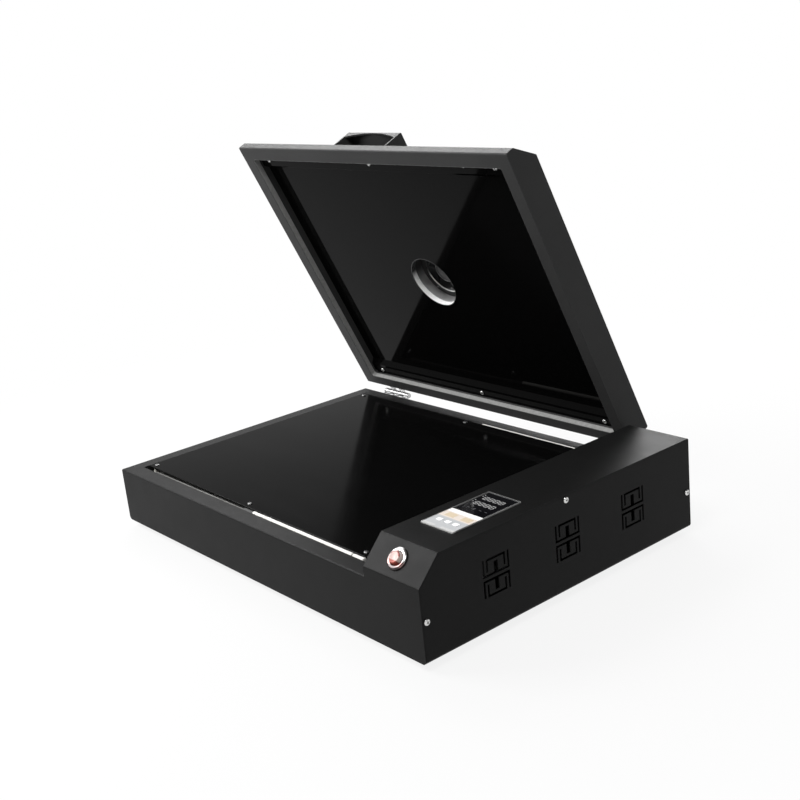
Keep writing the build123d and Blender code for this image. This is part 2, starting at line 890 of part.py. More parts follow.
with BuildPart() as controller_bezel:
    with BuildSketch(controller_spot):
        RectangleRounded(controller_width, controller_length, controller_corner)
    extrude(amount=controller_rise)
    fillet(controller_bezel.faces().sort_by(Axis.Z)[-1].edges(), radius=controller_edge)
    with BuildSketch(controller_spot):
        Rectangle(frame_inner_width, frame_inner_length)
    extrude(amount=controller_rise + margin, mode=Mode.SUBTRACT)
controller_bezel.part.label = "controller_bezel"
export_step(controller_bezel.part, "parts/controller_bezel.step")

with BuildPart() as controller_window:
    with BuildSketch(controller_spot):
        with Locations((0, display_middle)):
            Rectangle(frame_inner_width, display_length)
    extrude(amount=window_height)
controller_window.part.label = "controller_window"
export_step(controller_window.part, "parts/controller_window.step")

with BuildPart() as controller_keypad:
    with BuildSketch(controller_spot):
        with Locations((0, keypad_middle)):
            Rectangle(frame_inner_width, keypad_length)
        with Locations(*key_places):
            RectangleRounded(
                key_width + 2 * key_gap, key_length + 2 * key_gap, key_corner + key_gap,
                mode=Mode.SUBTRACT,
            )
    extrude(amount=window_height)
controller_keypad.part.label = "controller_keypad"
export_step(controller_keypad.part, "parts/controller_keypad.step")

for number, (x, y) in enumerate(key_places, start=1):
    with BuildPart() as key:
        with BuildSketch(controller_spot.offset(key_travel + screw_gap)):
            with Locations((x, y)):
                RectangleRounded(key_width, key_length, key_corner)
        extrude(amount=window_height + key_rise - key_travel - screw_gap)
        fillet(key.faces().sort_by(Axis.Z)[-1].edges(), radius=key_edge)
    key.part.label = f"key_{number}"
    export_step(key.part, f"parts/key_{number}.step")

with BuildPart() as controller_case:
    with BuildSketch(controller_spot):
        Rectangle(controller_case_width, controller_case_length)
    extrude(amount=-controller_case_depth)
controller_case.part.label = "controller_case"
export_step(controller_case.part, "parts/controller_case.step")

# Clamps that press the controller against the sheet from below
under_controller = controller_spot.offset(-case_sheet)
with BuildPart() as controller_clamps:
    for sign in (1, -1):
        wall = sign * controller_case_length / 2
        with BuildSketch(across(under_controller, -clamp_width / 2)):
            Polygon(
                (wall, 0),
                (wall + sign * clamp_toe, 0),
                (wall + sign * clamp_toe, -clamp_sheet),
                (wall + sign * clamp_sheet, -clamp_rise),
                (wall + sign * clamp_sheet, -clamp_length),
                (wall, -clamp_length),
                align=None,
            )
        extrude(amount=clamp_width)
controller_clamps.part.label = "controller_clamps"
export_step(controller_clamps.part, "parts/controller_clamps.step")

# Solid state relay on its heat sink
sink_spot = at(case, panel_x, sink_front + sink_length / 2, case_sheet)
fin_pitch = (sink_width - sink_fin) / (sink_fins - 1)
with BuildPart() as heat_sink:
    with BuildSketch(sink_spot.offset(sink_height - sink_base)):
        Rectangle(sink_width, sink_length)
    extrude(amount=sink_base)
    with BuildSketch(sink_spot):
        with GridLocations(fin_pitch, 0, sink_fins, 1):
            Rectangle(sink_fin, sink_length)
    extrude(amount=sink_height - sink_base)
heat_sink.part.label = "heat_sink"
export_step(heat_sink.part, "parts/heat_sink.step")

with BuildPart() as solid_state_relay:
    with BuildSketch(sink_spot.offset(sink_height)):
        Rectangle(relay_width, relay_length)
    extrude(amount=relay_height)
    fillet(solid_state_relay.edges().filter_by(Axis.Z), radius=relay_corner)
    # step at each end for the terminals
    with BuildSketch(sink_spot.offset(sink_height + relay_height / 2)):
        with GridLocations(0, relay_length - relay_end, 1, 2):
            Rectangle(relay_width + 2 * margin, relay_end)
    extrude(amount=relay_height, mode=Mode.SUBTRACT)
solid_state_relay.part.label = "solid_state_relay"
export_step(solid_state_relay.part, "parts/solid_state_relay.step")

# Terminal block with a slot for each way
block_spot = at(case, panel_x, block_front + block_length / 2, case_sheet)
way_pitch = block_length / block_ways
with BuildPart() as terminal_block:
    with BuildSketch(block_spot):
        Rectangle(block_width, block_length)
    extrude(amount=block_height)
    with BuildSketch(block_spot.offset(block_height)):
        with GridLocations(0, way_pitch, 1, block_ways):
            Rectangle(block_width + 2 * margin, way_pitch - way_wall)
    extrude(amount=-way_depth, mode=Mode.SUBTRACT)
terminal_block.part.label = "terminal_block"
export_step(terminal_block.part, "parts/terminal_block.step")

# Power inlet on the back of the control box
with BuildPart() as power_inlet:
    with BuildSketch(inlet_spot) as inlet_flange:
        Rectangle(inlet_flange_width, inlet_flange_height)
        fillet(inlet_flange.vertices(), radius=inlet_flange_corner)
        with GridLocations(inlet_hole_spacing, 0, 2, 1):
            Circle(small_shank + screw_gap, mode=Mode.SUBTRACT)
    extrude(amount=inlet_flange_thickness)
    with BuildSketch(inlet_spot) as inlet_body:
        Rectangle(inlet_width, inlet_height)
        chamfer(inlet_body.vertices().group_by(Axis.Y)[-1], length=inlet_chamfer)
    extrude(amount=-inlet_depth)
    # socket with its three contacts
    with BuildSketch(inlet_spot.offset(inlet_flange_thickness)) as socket_mouth:
        Rectangle(inlet_width - 2 * socket_wall, inlet_height - 2 * socket_wall)
        chamfer(socket_mouth.vertices().group_by(Axis.Y)[-1], length=socket_chamfer)
    extrude(amount=-(inlet_flange_thickness + socket_depth), mode=Mode.SUBTRACT)
    with BuildSketch(inlet_spot.offset(-socket_depth)):
        with Locations(*contact_places):
            Rectangle(contact_width, contact_height)
    extrude(amount=contact_length)
power_inlet.part.label = "power_inlet"
export_step(power_inlet.part, "parts/power_inlet.step")

inlet_screw_length = inlet_flange_thickness + case_sheet + inlet_screw_reach
inlet_screw = pan_screw(inlet_head, small_rise, small_shank, inlet_screw_length)
with BuildPart() as inlet_screws:
    with Locations(inlet_spot.offset(inlet_flange_thickness)):
        with GridLocations(inlet_hole_spacing, 0, 2, 1):
            add(inlet_screw)
inlet_screws.part.label = "inlet_screws"
export_step(inlet_screws.part, "parts/inlet_screws.step")

# Grommets for the fan's lead
for name, spot, wall in (
    ("base_grommet", base_grommet_spot, case_sheet),
    ("lid_grommet", lid_grommet_spot, lid_sheet),
):
    ring = turned(
        (grommet_bore_radius, -wall - grommet_lip),
        (grommet_radius, -wall - grommet_lip),
        (grommet_radius, -wall),
        (grommet_hole_radius, -wall),
        (grommet_hole_radius, 0),
        (grommet_radius, 0),
        (grommet_radius, grommet_lip),
        (grommet_bore_radius, grommet_lip),
    )
    with BuildPart() as grommet:
        with Locations(spot):
            add(ring)
    grommet.part.label = name
    export_step(grommet.part, f"parts/{name}.step")

# Lid shell: folded sheet with a return round its opening and ledges for the liner
lid_points = (
    (lid_front, 0),
    (case_depth, 0),
    (case_depth, lid_thickness),
    (lid_front + lid_chamfer_run, lid_thickness),
    (lid_front, lid_lip),
)
fold_end = liner_depth + liner_sheet + lid_sheet
ledge_depth = liner_flange_depth + liner_sheet
liner_rear = lid_opening_back - liner_gap
liner_front = lid_opening_front + liner_gap
liner_screw_xs = (
    lid_opening_left + liner_screw_left_inset,
    lid_opening_middle[0] + liner_screw_middle_shift,
    lid_opening_right - liner_screw_right_inset,
)
liner_screw_places = [
    (x, y)
    for x in liner_screw_xs
    for y in (lid_opening_front + liner_screw_inset, lid_opening_back - liner_screw_inset)
]
handle_screw_places = [
    (handle_left + handle_width / 2 + sign * handle_screw_spacing / 2,
     lid_front + handle_reach - handle_screw_inset)
    for sign in (-1, 1)
]
fan = at(lid, fan_x, fan_y)

with BuildPart() as lid_shell:
    with BuildSketch(across(lid, 0)) as lid_section:
        Polygon(*lid_points, align=None)
        fillet(lid_section.vertices(), radius=lid_bend)
    extrude(amount=lid_width)
    with BuildSketch(across(lid, lid_sheet)) as lid_inside:
        Polygon(*lid_points, align=None)
        fillet(lid_inside.vertices(), radius=lid_bend)
        offset(amount=-lid_sheet, mode=Mode.REPLACE)
    extrude(amount=lid_width - 2 * lid_sheet, mode=Mode.SUBTRACT)
    # return fold round the opening
    with BuildSketch(lid.offset(lid_sheet)):
        with Locations(lid_opening_middle):
            RectangleRounded(
                lid_opening_width + 2 * lid_sheet, lid_opening_depth + 2 * lid_sheet,
                lid_opening_corner + lid_sheet,
            )
    extrude(amount=fold_end - lid_sheet)
    with BuildSketch(lid.offset(-margin)):
        with Locations(lid_opening_middle):
            RectangleRounded(lid_opening_width, lid_opening_depth, lid_opening_corner)
    extrude(amount=fold_end + 2 * margin - lid_sheet, mode=Mode.SUBTRACT)
    # ledges for the liner: front and back at its flanges, left and right at its floor
    for low_y in (lid_opening_front, lid_opening_back - lid_ledge):
        with BuildSketch(lid.offset(ledge_depth)):
            with Locations((lid_opening_middle[0], low_y + lid_ledge / 2)):
                Rectangle(lid_opening_width, lid_ledge)
        extrude(amount=lid_sheet)
    for left_x in (lid_opening_left, lid_opening_right - lid_ledge):
        with BuildSketch(lid.offset(liner_depth + liner_sheet)):
            with Locations((left_x + lid_ledge / 2, lid_opening_middle[1])):
                Rectangle(
                    lid_ledge,
                    lid_opening_depth - 2 * (liner_flange_width + liner_joggle_run + ledge_gap),
                )
        extrude(amount=lid_sheet)
    # hole under the fan
    with BuildSketch(fan.offset(lid_thickness + margin)):
        Circle(roof_hole_radius)
    extrude(amount=-(lid_sheet + 2 * margin), mode=Mode.SUBTRACT)
    # screw holes
    with BuildSketch(lid):
        with Locations(*liner_screw_places):
            Circle(small_shank + screw_gap)
    extrude(amount=fold_end, mode=Mode.SUBTRACT)
    with BuildSketch(lid.offset(lid_thickness + margin)):
        with Locations(*handle_screw_places):
            Circle(medium_shank + screw_gap)
        with Locations((fan_x, fan_y)):
            with GridLocations(fan_hole_spacing, fan_hole_spacing, 2, 2):
                Circle(small_shank + screw_gap)
    extrude(amount=-(lid_sheet + 2 * margin), mode=Mode.SUBTRACT)
    with Locations(lid_grommet_spot):
        Hole(radius=grommet_hole_radius + screw_gap, depth=2 * lid_sheet)
    with Locations(*lid_hinge_seats):
        Hole(radius=medium_shank + screw_gap, depth=4 * lid_sheet)
lid_shell.part.label = "lid_shell"
export_step(lid_shell.part, "parts/lid_shell.step")

# Liner: flange, joggle, floor, joggle, flange in one sheet
liner_face = (
    (liner_front, liner_flange_depth),
    (lid_opening_front + liner_flange_width, liner_flange_depth),
    (lid_opening_front + liner_flange_width + liner_joggle_run, liner_depth),
    (lid_opening_back - liner_flange_width - liner_joggle_run, liner_depth),
    (lid_opening_back - liner_flange_width, liner_flange_depth),
    (liner_rear, liner_flange_depth),
)
with BuildPart() as lid_liner:
    with BuildSketch(across(lid, lid_opening_left + liner_gap)):
        Polygon(
            *liner_face,
            *[(y, z + liner_sheet) for y, z in reversed(liner_face)],
            align=None,
        )
    extrude(amount=lid_opening_width - 2 * liner_gap)
    with BuildSketch(lid):
        with Locations((fan_x, fan_y)):
            Circle(collar_radius + collar_sheet + screw_gap)
        with Locations(*liner_screw_places):
            Circle(small_shank + screw_gap)
    extrude(amount=lid_thickness, mode=Mode.SUBTRACT)
    with BuildSketch(lid):
        for x in (lid_opening_left, lid_opening_right):
            for y in (lid_opening_front, lid_opening_back):
                with Locations((x, y)):
                    Rectangle(2 * lid_opening_corner, 2 * lid_opening_corner)
    extrude(amount=lid_thickness, mode=Mode.SUBTRACT)
lid_liner.part.label = "lid_liner"
export_step(lid_liner.part, "parts/lid_liner.step")

liner_screw = pan_screw(liner_head, small_rise, small_shank, liner_sheet + liner_screw_reach)
liner_screw_seats = [
    Plane(origin=lid.from_local_coords(Vector(x, y, liner_flange_depth)), x_dir=lid.x_dir, z_dir=-lid.z_dir)
    for x, y in liner_screw_places
]
with BuildPart() as liner_screws:
    with Locations(*liner_screw_seats):
        add(liner_screw)
liner_screws.part.label = "liner_screws"
export_step(liner_screws.part, "parts/liner_screws.step")

# Insulation between the liner and the lid's top
wool_low = fold_end
with BuildPart() as lid_insulation:
    with BuildSketch(lid.offset(wool_low)):
        with Locations(lid_opening_middle):
            Rectangle(
                lid_opening_width - 2 * pass_gap,
                lid_opening_depth - 2 * (liner_flange_width + liner_joggle_run),
            )
        with Locations((fan_x, fan_y)):
            Rectangle(2 * (collar_radius + duct_clearance), 2 * (collar_radius + duct_clearance),
                      mode=Mode.SUBTRACT)
    extrude(amount=lid_roof - wool_low)
lid_insulation.part.label = "lid_insulation"
export_step(lid_insulation.part, "parts/lid_insulation.step")

# Collar in the liner's hole
liner_back_face = liner_depth + liner_sheet
collar = turned(
    (collar_radius, liner_depth),
    (collar_radius + collar_sheet, liner_depth),
    (collar_radius + collar_sheet, liner_back_face),
    (collar_radius + collar_flange, liner_back_face),
    (collar_radius + collar_flange, liner_back_face + collar_sheet),
    (collar_radius + collar_sheet, liner_back_face + collar_sheet),
    (collar_radius + collar_sheet, collar_end),
    (collar_radius, collar_end),
)
with BuildPart() as fan_collar:
    with Locations(fan):
        add(collar)
fan_collar.part.label = "fan_collar"
export_step(fan_collar.part, "parts/fan_collar.step")

# Sleeve round the collar that leads up to the lid's top
sleeve_radius = collar_radius + collar_sheet + screw_gap
sleeve_low = liner_back_face + collar_sheet
sleeve_end = lid_roof - duct_roof_gap
sleeve = turned(
    (sleeve_radius, sleeve_low),
    (sleeve_radius + collar_sheet, sleeve_low),
    (sleeve_radius + collar_sheet, sleeve_end),
    (sleeve_radius, sleeve_end),
)
with BuildPart() as duct_sleeve:
    with Locations(fan):
        add(sleeve)
duct_sleeve.part.label = "duct_sleeve"
export_step(duct_sleeve.part, "parts/duct_sleeve.step")

# Fan frame: square ring, three struts and the plate that holds the motor
strut_length = fan_bore_radius - fan_hub_radius + fan_strut_width / 2
with BuildPart() as fan_frame:
    with BuildSketch(fan.offset(fan_face)):
        RectangleRounded(fan_size, fan_size, fan_corner)
        Circle(fan_bore_radius, mode=Mode.SUBTRACT)
        with GridLocations(fan_hole_spacing, fan_hole_spacing, 2, 2):
            Circle(small_shank + screw_gap, mode=Mode.SUBTRACT)
    extrude(amount=fan_thickness)
    with BuildSketch(fan.offset(motor_back)):
        Circle(fan_hub_radius)
        with PolarLocations((fan_bore_radius + fan_hub_radius) / 2, fan_struts):
            Rectangle(strut_length, fan_strut_width)
    extrude(amount=fan_strut_thickness)
fan_frame.part.label = "fan_frame"
export_step(fan_frame.part, "parts/fan_frame.step")

# Motor: winding body and shaft, fixed to the plate
motor_radius = fan_hub_radius - fan_hub_wall - fan_motor_gap
hub_front = fan_face + fan_hub_inset
hub_back = motor_back - fan_hub_play
motor_front = hub_front + fan_hub_wall + fan_hub_play
motor = turned(
    (0, hub_front),
    (fan_shaft_radius, hub_front),
    (fan_shaft_radius, motor_front),
    (motor_radius, motor_front),
    (motor_radius, motor_back),
    (0, motor_back),
)
with BuildPart() as fan_motor:
    with Locations(fan):
        add(motor)
fan_motor.part.label = "fan_motor"
export_step(fan_motor.part, "parts/fan_motor.step")

# Rotor: cup-shaped hub with twisted blades
blade_middle = (hub_front + hub_back) / 2
blade_root_radius = fan_hub_radius - fan_hub_wall / 2
blade_tip_radius = fan_bore_radius - fan_tip_gap
blade_sections = ((blade_root_radius, *fan_blade_root), (blade_tip_radius, *fan_blade_tip))
with BuildPart() as blade:
    for radius, chord, pitch in blade_sections:
        with BuildSketch(Plane(origin=(radius, 0, blade_middle), x_dir=(0, 1, 0), z_dir=(1, 0, 0))):
            Rectangle(chord, fan_blade_thickness, rotation=pitch)
    loft()
hub = turned(
    (fan_shaft_radius + hinge_running_gap, hub_front),
    (fan_hub_radius - fan_hub_edge, hub_front),
    (fan_hub_radius, hub_front + fan_hub_edge),
    (fan_hub_radius, hub_back),
    (fan_hub_radius - fan_hub_wall, hub_back),
    (fan_hub_radius - fan_hub_wall, hub_front + fan_hub_wall),
    (fan_shaft_radius + hinge_running_gap, hub_front + fan_hub_wall),
)
with BuildPart(fan) as fan_rotor:
    add(hub)
    with PolarLocations(0, fan_blade_count):
        add(blade.part)
fan_rotor.part.label = "fan_rotor"
export_step(fan_rotor.part, "parts/fan_rotor.step")

# Guard over the fan, a plate with rings of slots
with BuildPart() as fan_guard:
    with BuildSketch(fan.offset(fan_back)):
        RectangleRounded(fan_size, fan_size, fan_corner)
        with GridLocations(fan_hole_spacing, fan_hole_spacing, 2, 2):
            Circle(small_shank + screw_gap, mode=Mode.SUBTRACT)
    extrude(amount=guard_sheet)
    with BuildSketch(fan.offset(fan_back)):
        for radius in guard_radii:
            Circle(radius + guard_half_slot)
            Circle(radius - guard_half_slot, mode=Mode.SUBTRACT)
        for turn in guard_turns:
            Rectangle(fan_size, guard_spoke, rotation=turn, mode=Mode.SUBTRACT)
    extrude(amount=guard_sheet, mode=Mode.SUBTRACT)
fan_guard.part.label = "fan_guard"
export_step(fan_guard.part, "parts/fan_guard.step")

fan_screw_length = guard_sheet + fan_thickness + lid_sheet
fan_screw = pan_screw(fan_head, small_rise, small_shank, fan_screw_length)
with BuildPart() as fan_screws:
    with Locations(fan.offset(fan_back + guard_sheet)):
        with GridLocations(fan_hole_spacing, fan_hole_spacing, 2, 2):
            add(fan_screw)
fan_screws.part.label = "fan_screws"
export_step(fan_screws.part, "parts/fan_screws.step")

# Handle: hood over the chamfer with an arched lintel and a gusset at each end
handle_top = lid_thickness + handle_sheet
handle_right = handle_left + handle_width
lintel_low = handle_top - handle_lintel
chamfer_back = lid_front + lid_chamfer_run
with BuildPart() as handle:
    with BuildSketch(across(lid, handle_left)) as hood:
        Polygon(
            (lid_front + handle_reach, handle_top),
            (lid_front, handle_top),
            (lid_front, lintel_low),
            (lid_front + handle_sheet, lintel_low),
            (lid_front + handle_sheet, lid_thickness),
            (lid_front + handle_reach, lid_thickness),
            align=None,
        )
        fillet(hood.vertices().sort_by(Axis.X)[:3].sort_by(Axis.Y)[-1], radius=handle_bend)
    extrude(amount=handle_width)
    for gusset_x in (handle_left, handle_right - handle_sheet):
        with BuildSketch(across(lid, gusset_x)):
            Polygon(
                (lid_front, lid_lip),
                (chamfer_back, lid_thickness),
                (chamfer_back, handle_top - handle_edge),
                (lid_front, handle_top - handle_bend),
                align=None,
            )
        extrude(amount=handle_sheet)
    with BuildSketch(facing(lid, lid_front - margin)):
        with BuildLine():
            low_left = (handle_left + handle_sheet, lintel_low)
            low_right = (handle_right - handle_sheet, lintel_low)
            ThreePointArc(low_left, (handle_left + handle_width / 2, lintel_low + handle_arch), low_right)
            Line(low_right, low_left)
        make_face()
    extrude(amount=-(handle_sheet + margin), mode=Mode.SUBTRACT)
    with BuildSketch(lid.offset(handle_top + margin)):
        with Locations(*handle_screw_places):
            Circle(medium_shank + screw_gap)
    extrude(amount=-2 * margin, mode=Mode.SUBTRACT)
handle.part.label = "handle"
export_step(handle.part, "parts/handle.step")

handle_screw_length = handle_sheet + lid_sheet + handle_screw_reach
handle_screw = pan_screw(medium_head, medium_rise, medium_shank, handle_screw_length)
with BuildPart() as handle_screws:
    with Locations(*[at(lid, x, y, handle_top) for x, y in handle_screw_places]):
        add(handle_screw)
handle_screws.part.label = "handle_screws"
export_step(handle_screws.part, "parts/handle_screws.step")

# Hinges: a leaf on the case, a leaf on the lid and a pin
knuckle_radius = hinge_pin_radius + hinge_sheet
knuckle_bore = hinge_pin_radius + hinge_running_gap
knuckle_pitch = hinge_width / hinge_knuckles
knuckle_width = knuckle_pitch - hinge_knuckle_gap


def hinge_leaf(frame, left, side, numbers):
    """Leaf whose plate lies below the pin (side -1) or above it (side 1), on the given knuckles."""
    axis = at(frame, left, hinge_y, hinge_z if frame is case else -closed_gap / 2)
    plate_end = side * hinge_leaf_height
    plate_start = side * knuckle_radius
    with BuildPart() as leaf:
        with BuildSketch(across(axis, 0)):
            Polygon(
                (-hinge_setback, plate_end), (-hinge_setback, plate_start),
                (-hinge_setback + hinge_sheet, plate_start), (-hinge_setback + hinge_sheet, plate_end),
                align=None,
            )
        extrude(amount=hinge_width)
        for number in numbers:
            start = number * knuckle_pitch + hinge_knuckle_gap / 2
            with BuildSketch(across(axis, start)):
                Polygon(
                    (-hinge_setback, plate_start + side), (-hinge_setback, side * knuckle_bore),
                    (0, side * knuckle_bore), (0, side * knuckle_radius),
                    (-hinge_setback + hinge_sheet, side * knuckle_radius),
                    (-hinge_setback + hinge_sheet, plate_start + side),
                    align=None,
                )
                Circle(knuckle_radius)
                Circle(knuckle_bore, mode=Mode.SUBTRACT)
            extrude(amount=knuckle_width)
    return leaf.part


for index, (name, left) in enumerate(hinge_lefts.items()):
    base_leaf_blank = hinge_leaf(case, left, -1, (0, 2, 4))
    lid_leaf_blank = hinge_leaf(lid, left, 1, (1, 3))
    first = index * len(hinge_screw_places)
    last = first + len(hinge_screw_places)
    with BuildPart() as base_leaf:
        add(base_leaf_blank)
        with Locations(*base_hinge_seats[first:last]):
            Hole(radius=medium_shank + screw_gap, depth=2 * hinge_sheet)
    base_leaf.part.label = f"{name}_hinge_base_leaf"
    export_step(base_leaf.part, f"parts/{name}_hinge_base_leaf.step")

    with BuildPart() as lid_leaf:
        add(lid_leaf_blank)
        with Locations(*lid_hinge_seats[first:last]):
            Hole(radius=medium_shank + screw_gap, depth=2 * hinge_sheet)
    lid_leaf.part.label = f"{name}_hinge_lid_leaf"
    export_step(lid_leaf.part, f"parts/{name}_hinge_lid_leaf.step")

    with BuildPart() as hinge_pin:
        with BuildSketch(across(at(case, left, hinge_y, hinge_z), -hinge_head_height)):
            Circle(hinge_head_radius)
        extrude(amount=hinge_head_height)
        with BuildSketch(across(at(case, left, hinge_y, hinge_z), 0)):
            Circle(hinge_pin_radius)
        extrude(amount=hinge_width)
        with BuildSketch(across(at(case, left, hinge_y, hinge_z), hinge_width)):
            Circle(hinge_head_radius)
        extrude(amount=hinge_head_height)
    hinge_pin.part.label = f"{name}_hinge_pin"
    export_step(hinge_pin.part, f"parts/{name}_hinge_pin.step")

base_hinge_screw_length = hinge_sheet + case_sheet + hinge_screw_reach
base_hinge_screw = pan_screw(medium_head, medium_rise, medium_shank, base_hinge_screw_length)
with BuildPart() as base_hinge_screws:
    with Locations(*base_hinge_seats):
        add(base_hinge_screw)
base_hinge_screws.part.label = "base_hinge_screws"
export_step(base_hinge_screws.part, "parts/base_hinge_screws.step")

lid_hinge_screw_length = hinge_sheet + lid_sheet + hinge_screw_reach
lid_hinge_screw = pan_screw(medium_head, medium_rise, medium_shank, lid_hinge_screw_length)
with BuildPart() as lid_hinge_screws:
    with Locations(*lid_hinge_seats):
        add(lid_hinge_screw)
lid_hinge_screws.part.label = "lid_hinge_screws"
export_step(lid_hinge_screws.part, "parts/lid_hinge_screws.step")
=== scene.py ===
import json
from math import cos, pi, radians, sin

import bmesh
import bpy
from mathutils import Matrix, Vector, noise


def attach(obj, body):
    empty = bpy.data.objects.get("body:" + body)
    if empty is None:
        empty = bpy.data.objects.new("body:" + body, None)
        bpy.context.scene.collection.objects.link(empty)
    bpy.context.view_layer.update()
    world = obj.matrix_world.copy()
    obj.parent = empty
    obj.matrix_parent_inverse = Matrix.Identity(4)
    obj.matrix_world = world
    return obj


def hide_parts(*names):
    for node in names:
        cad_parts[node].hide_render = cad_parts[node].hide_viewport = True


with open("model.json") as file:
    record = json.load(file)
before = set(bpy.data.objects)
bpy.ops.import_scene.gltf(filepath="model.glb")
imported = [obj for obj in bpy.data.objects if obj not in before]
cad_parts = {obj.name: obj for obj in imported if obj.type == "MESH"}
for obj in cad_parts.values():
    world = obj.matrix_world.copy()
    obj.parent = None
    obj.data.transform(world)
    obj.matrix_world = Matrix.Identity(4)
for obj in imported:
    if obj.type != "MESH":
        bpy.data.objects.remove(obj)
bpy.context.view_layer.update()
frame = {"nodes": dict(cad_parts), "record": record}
scene = bpy.context.scene
nodes = frame["nodes"]

# Places are in millimetres from the case's front left bottom corner. The lid's places read the same as
# the case's do when it is shut, with z from its rim face.
CASE_WIDTH, CASE_DEPTH, RIM, TOP = 588.0, 408.5, 69.2, 108.2
SHEET = 2.0  # thickness of the plate, of the handle and of the hinges' leaves
FOOT_HEIGHT = 8.0
LID_TOP = 37.3
OPEN = radians(65.1)
SHUT_HALF_GAP = 0.4
HINGE_Y, HINGE_Z = CASE_DEPTH + 8.75, RIM + SHUT_HALF_GAP
PANEL_X = 543.8
PANEL_LEFT, PANEL_FRONT, PANEL_RIGHT, PANEL_BACK = PANEL_X - 24.0, 65.5, PANEL_X + 24.0, 161.5
FAN_X, FAN_Y = 250.5, 206.0
LINER_FLANGE = 10.4

X_DIR = Vector((1, 0, 0))
BACK = Vector((0, 1, 0))
UP = Vector((0, 0, 1))
ORIGIN = Vector((-294.0, -223.552668, FOOT_HEIGHT))
HINGE = ORIGIN + Vector((0, HINGE_Y, HINGE_Z))
LID_BACK = Vector((0, cos(OPEN), -sin(OPEN)))
LID_UP = Vector((0, sin(OPEN), cos(OPEN)))


def case(x, y, z):
    """A place on the case, in metres of the shared frame."""
    return (ORIGIN + Vector((x, y, z))) / 1000


def lid(x, y, z):
    """A place on the lid as it stands open, in metres of the shared frame."""
    return (HINGE + Vector((x, 0, 0)) + LID_BACK * (y - HINGE_Y) + LID_UP * (z + SHUT_HALF_GAP)) / 1000


def seat(point, normal, across=X_DIR):
    """The matrix of a place with its z along a normal."""
    z = normal.normalized()
    x = (across - z * across.dot(z)).normalized()
    return Matrix.Translation(point) @ Matrix((x, z.cross(x), z)).transposed().to_4x4()


BUTTON_POINT = case(PANEL_X, 13.75, 94.2)
BUTTON_UP = Vector((0, -28.0, 27.5)).normalized()
BUTTON_SLOPE = Vector((0, BUTTON_UP.z, -BUTTON_UP.y))
FAN_POINT = lid(FAN_X, FAN_Y, 0.0)

# Camera, solved from the photograph
PHOTO_PIXELS, FOCAL_PIXELS, SENSOR = 800, 1218.56, 36.0
CAMERA_POINT = (1.1020, -0.86635, 0.5953)
yaw, pitch, roll = radians(51.434), radians(-17.244), radians(-5.877)
ahead = Vector((-sin(yaw) * cos(pitch), cos(yaw) * cos(pitch), sin(pitch)))
level = Vector((cos(yaw), sin(yaw), 0))
rise = level.cross(ahead)
right = level * cos(roll) + rise * sin(roll)
top = rise * cos(roll) - level * sin(roll)
camera_data = bpy.data.cameras.new("camera")
camera_data.sensor_fit = "HORIZONTAL"
camera_data.sensor_width = SENSOR
camera_data.lens = SENSOR * FOCAL_PIXELS / PHOTO_PIXELS
camera_data.clip_start = 0.01
camera_data.clip_end = 100
camera = bpy.data.objects.new("camera", camera_data)
camera.matrix_world = Matrix.Translation(CAMERA_POINT) @ Matrix((right, top, -ahead)).transposed().to_4x4()
scene.collection.objects.link(camera)
scene.camera = camera


# Node helpers
def new_node(tree, kind, **settings):
    node = tree.nodes.new(kind)
    for key, value in settings.items():
        setattr(node, key, value)
    return node


def ramp(tree, source, from_low, from_high, to_low, to_high, smooth=False):
    """A value brought from one range to another, and held at its ends."""
    node = new_node(tree, "ShaderNodeMapRange", clamp=True,
                    interpolation_type="SMOOTHSTEP" if smooth else "LINEAR")
    tree.links.new(source, node.inputs["Value"])
    ends = {"From Min": from_low, "From Max": from_high, "To Min": to_low, "To Max": to_high}
    for key, value in ends.items():
        node.inputs[key].default_value = value
    return node.outputs["Result"]


def grey(level):
    return (level, level, level)


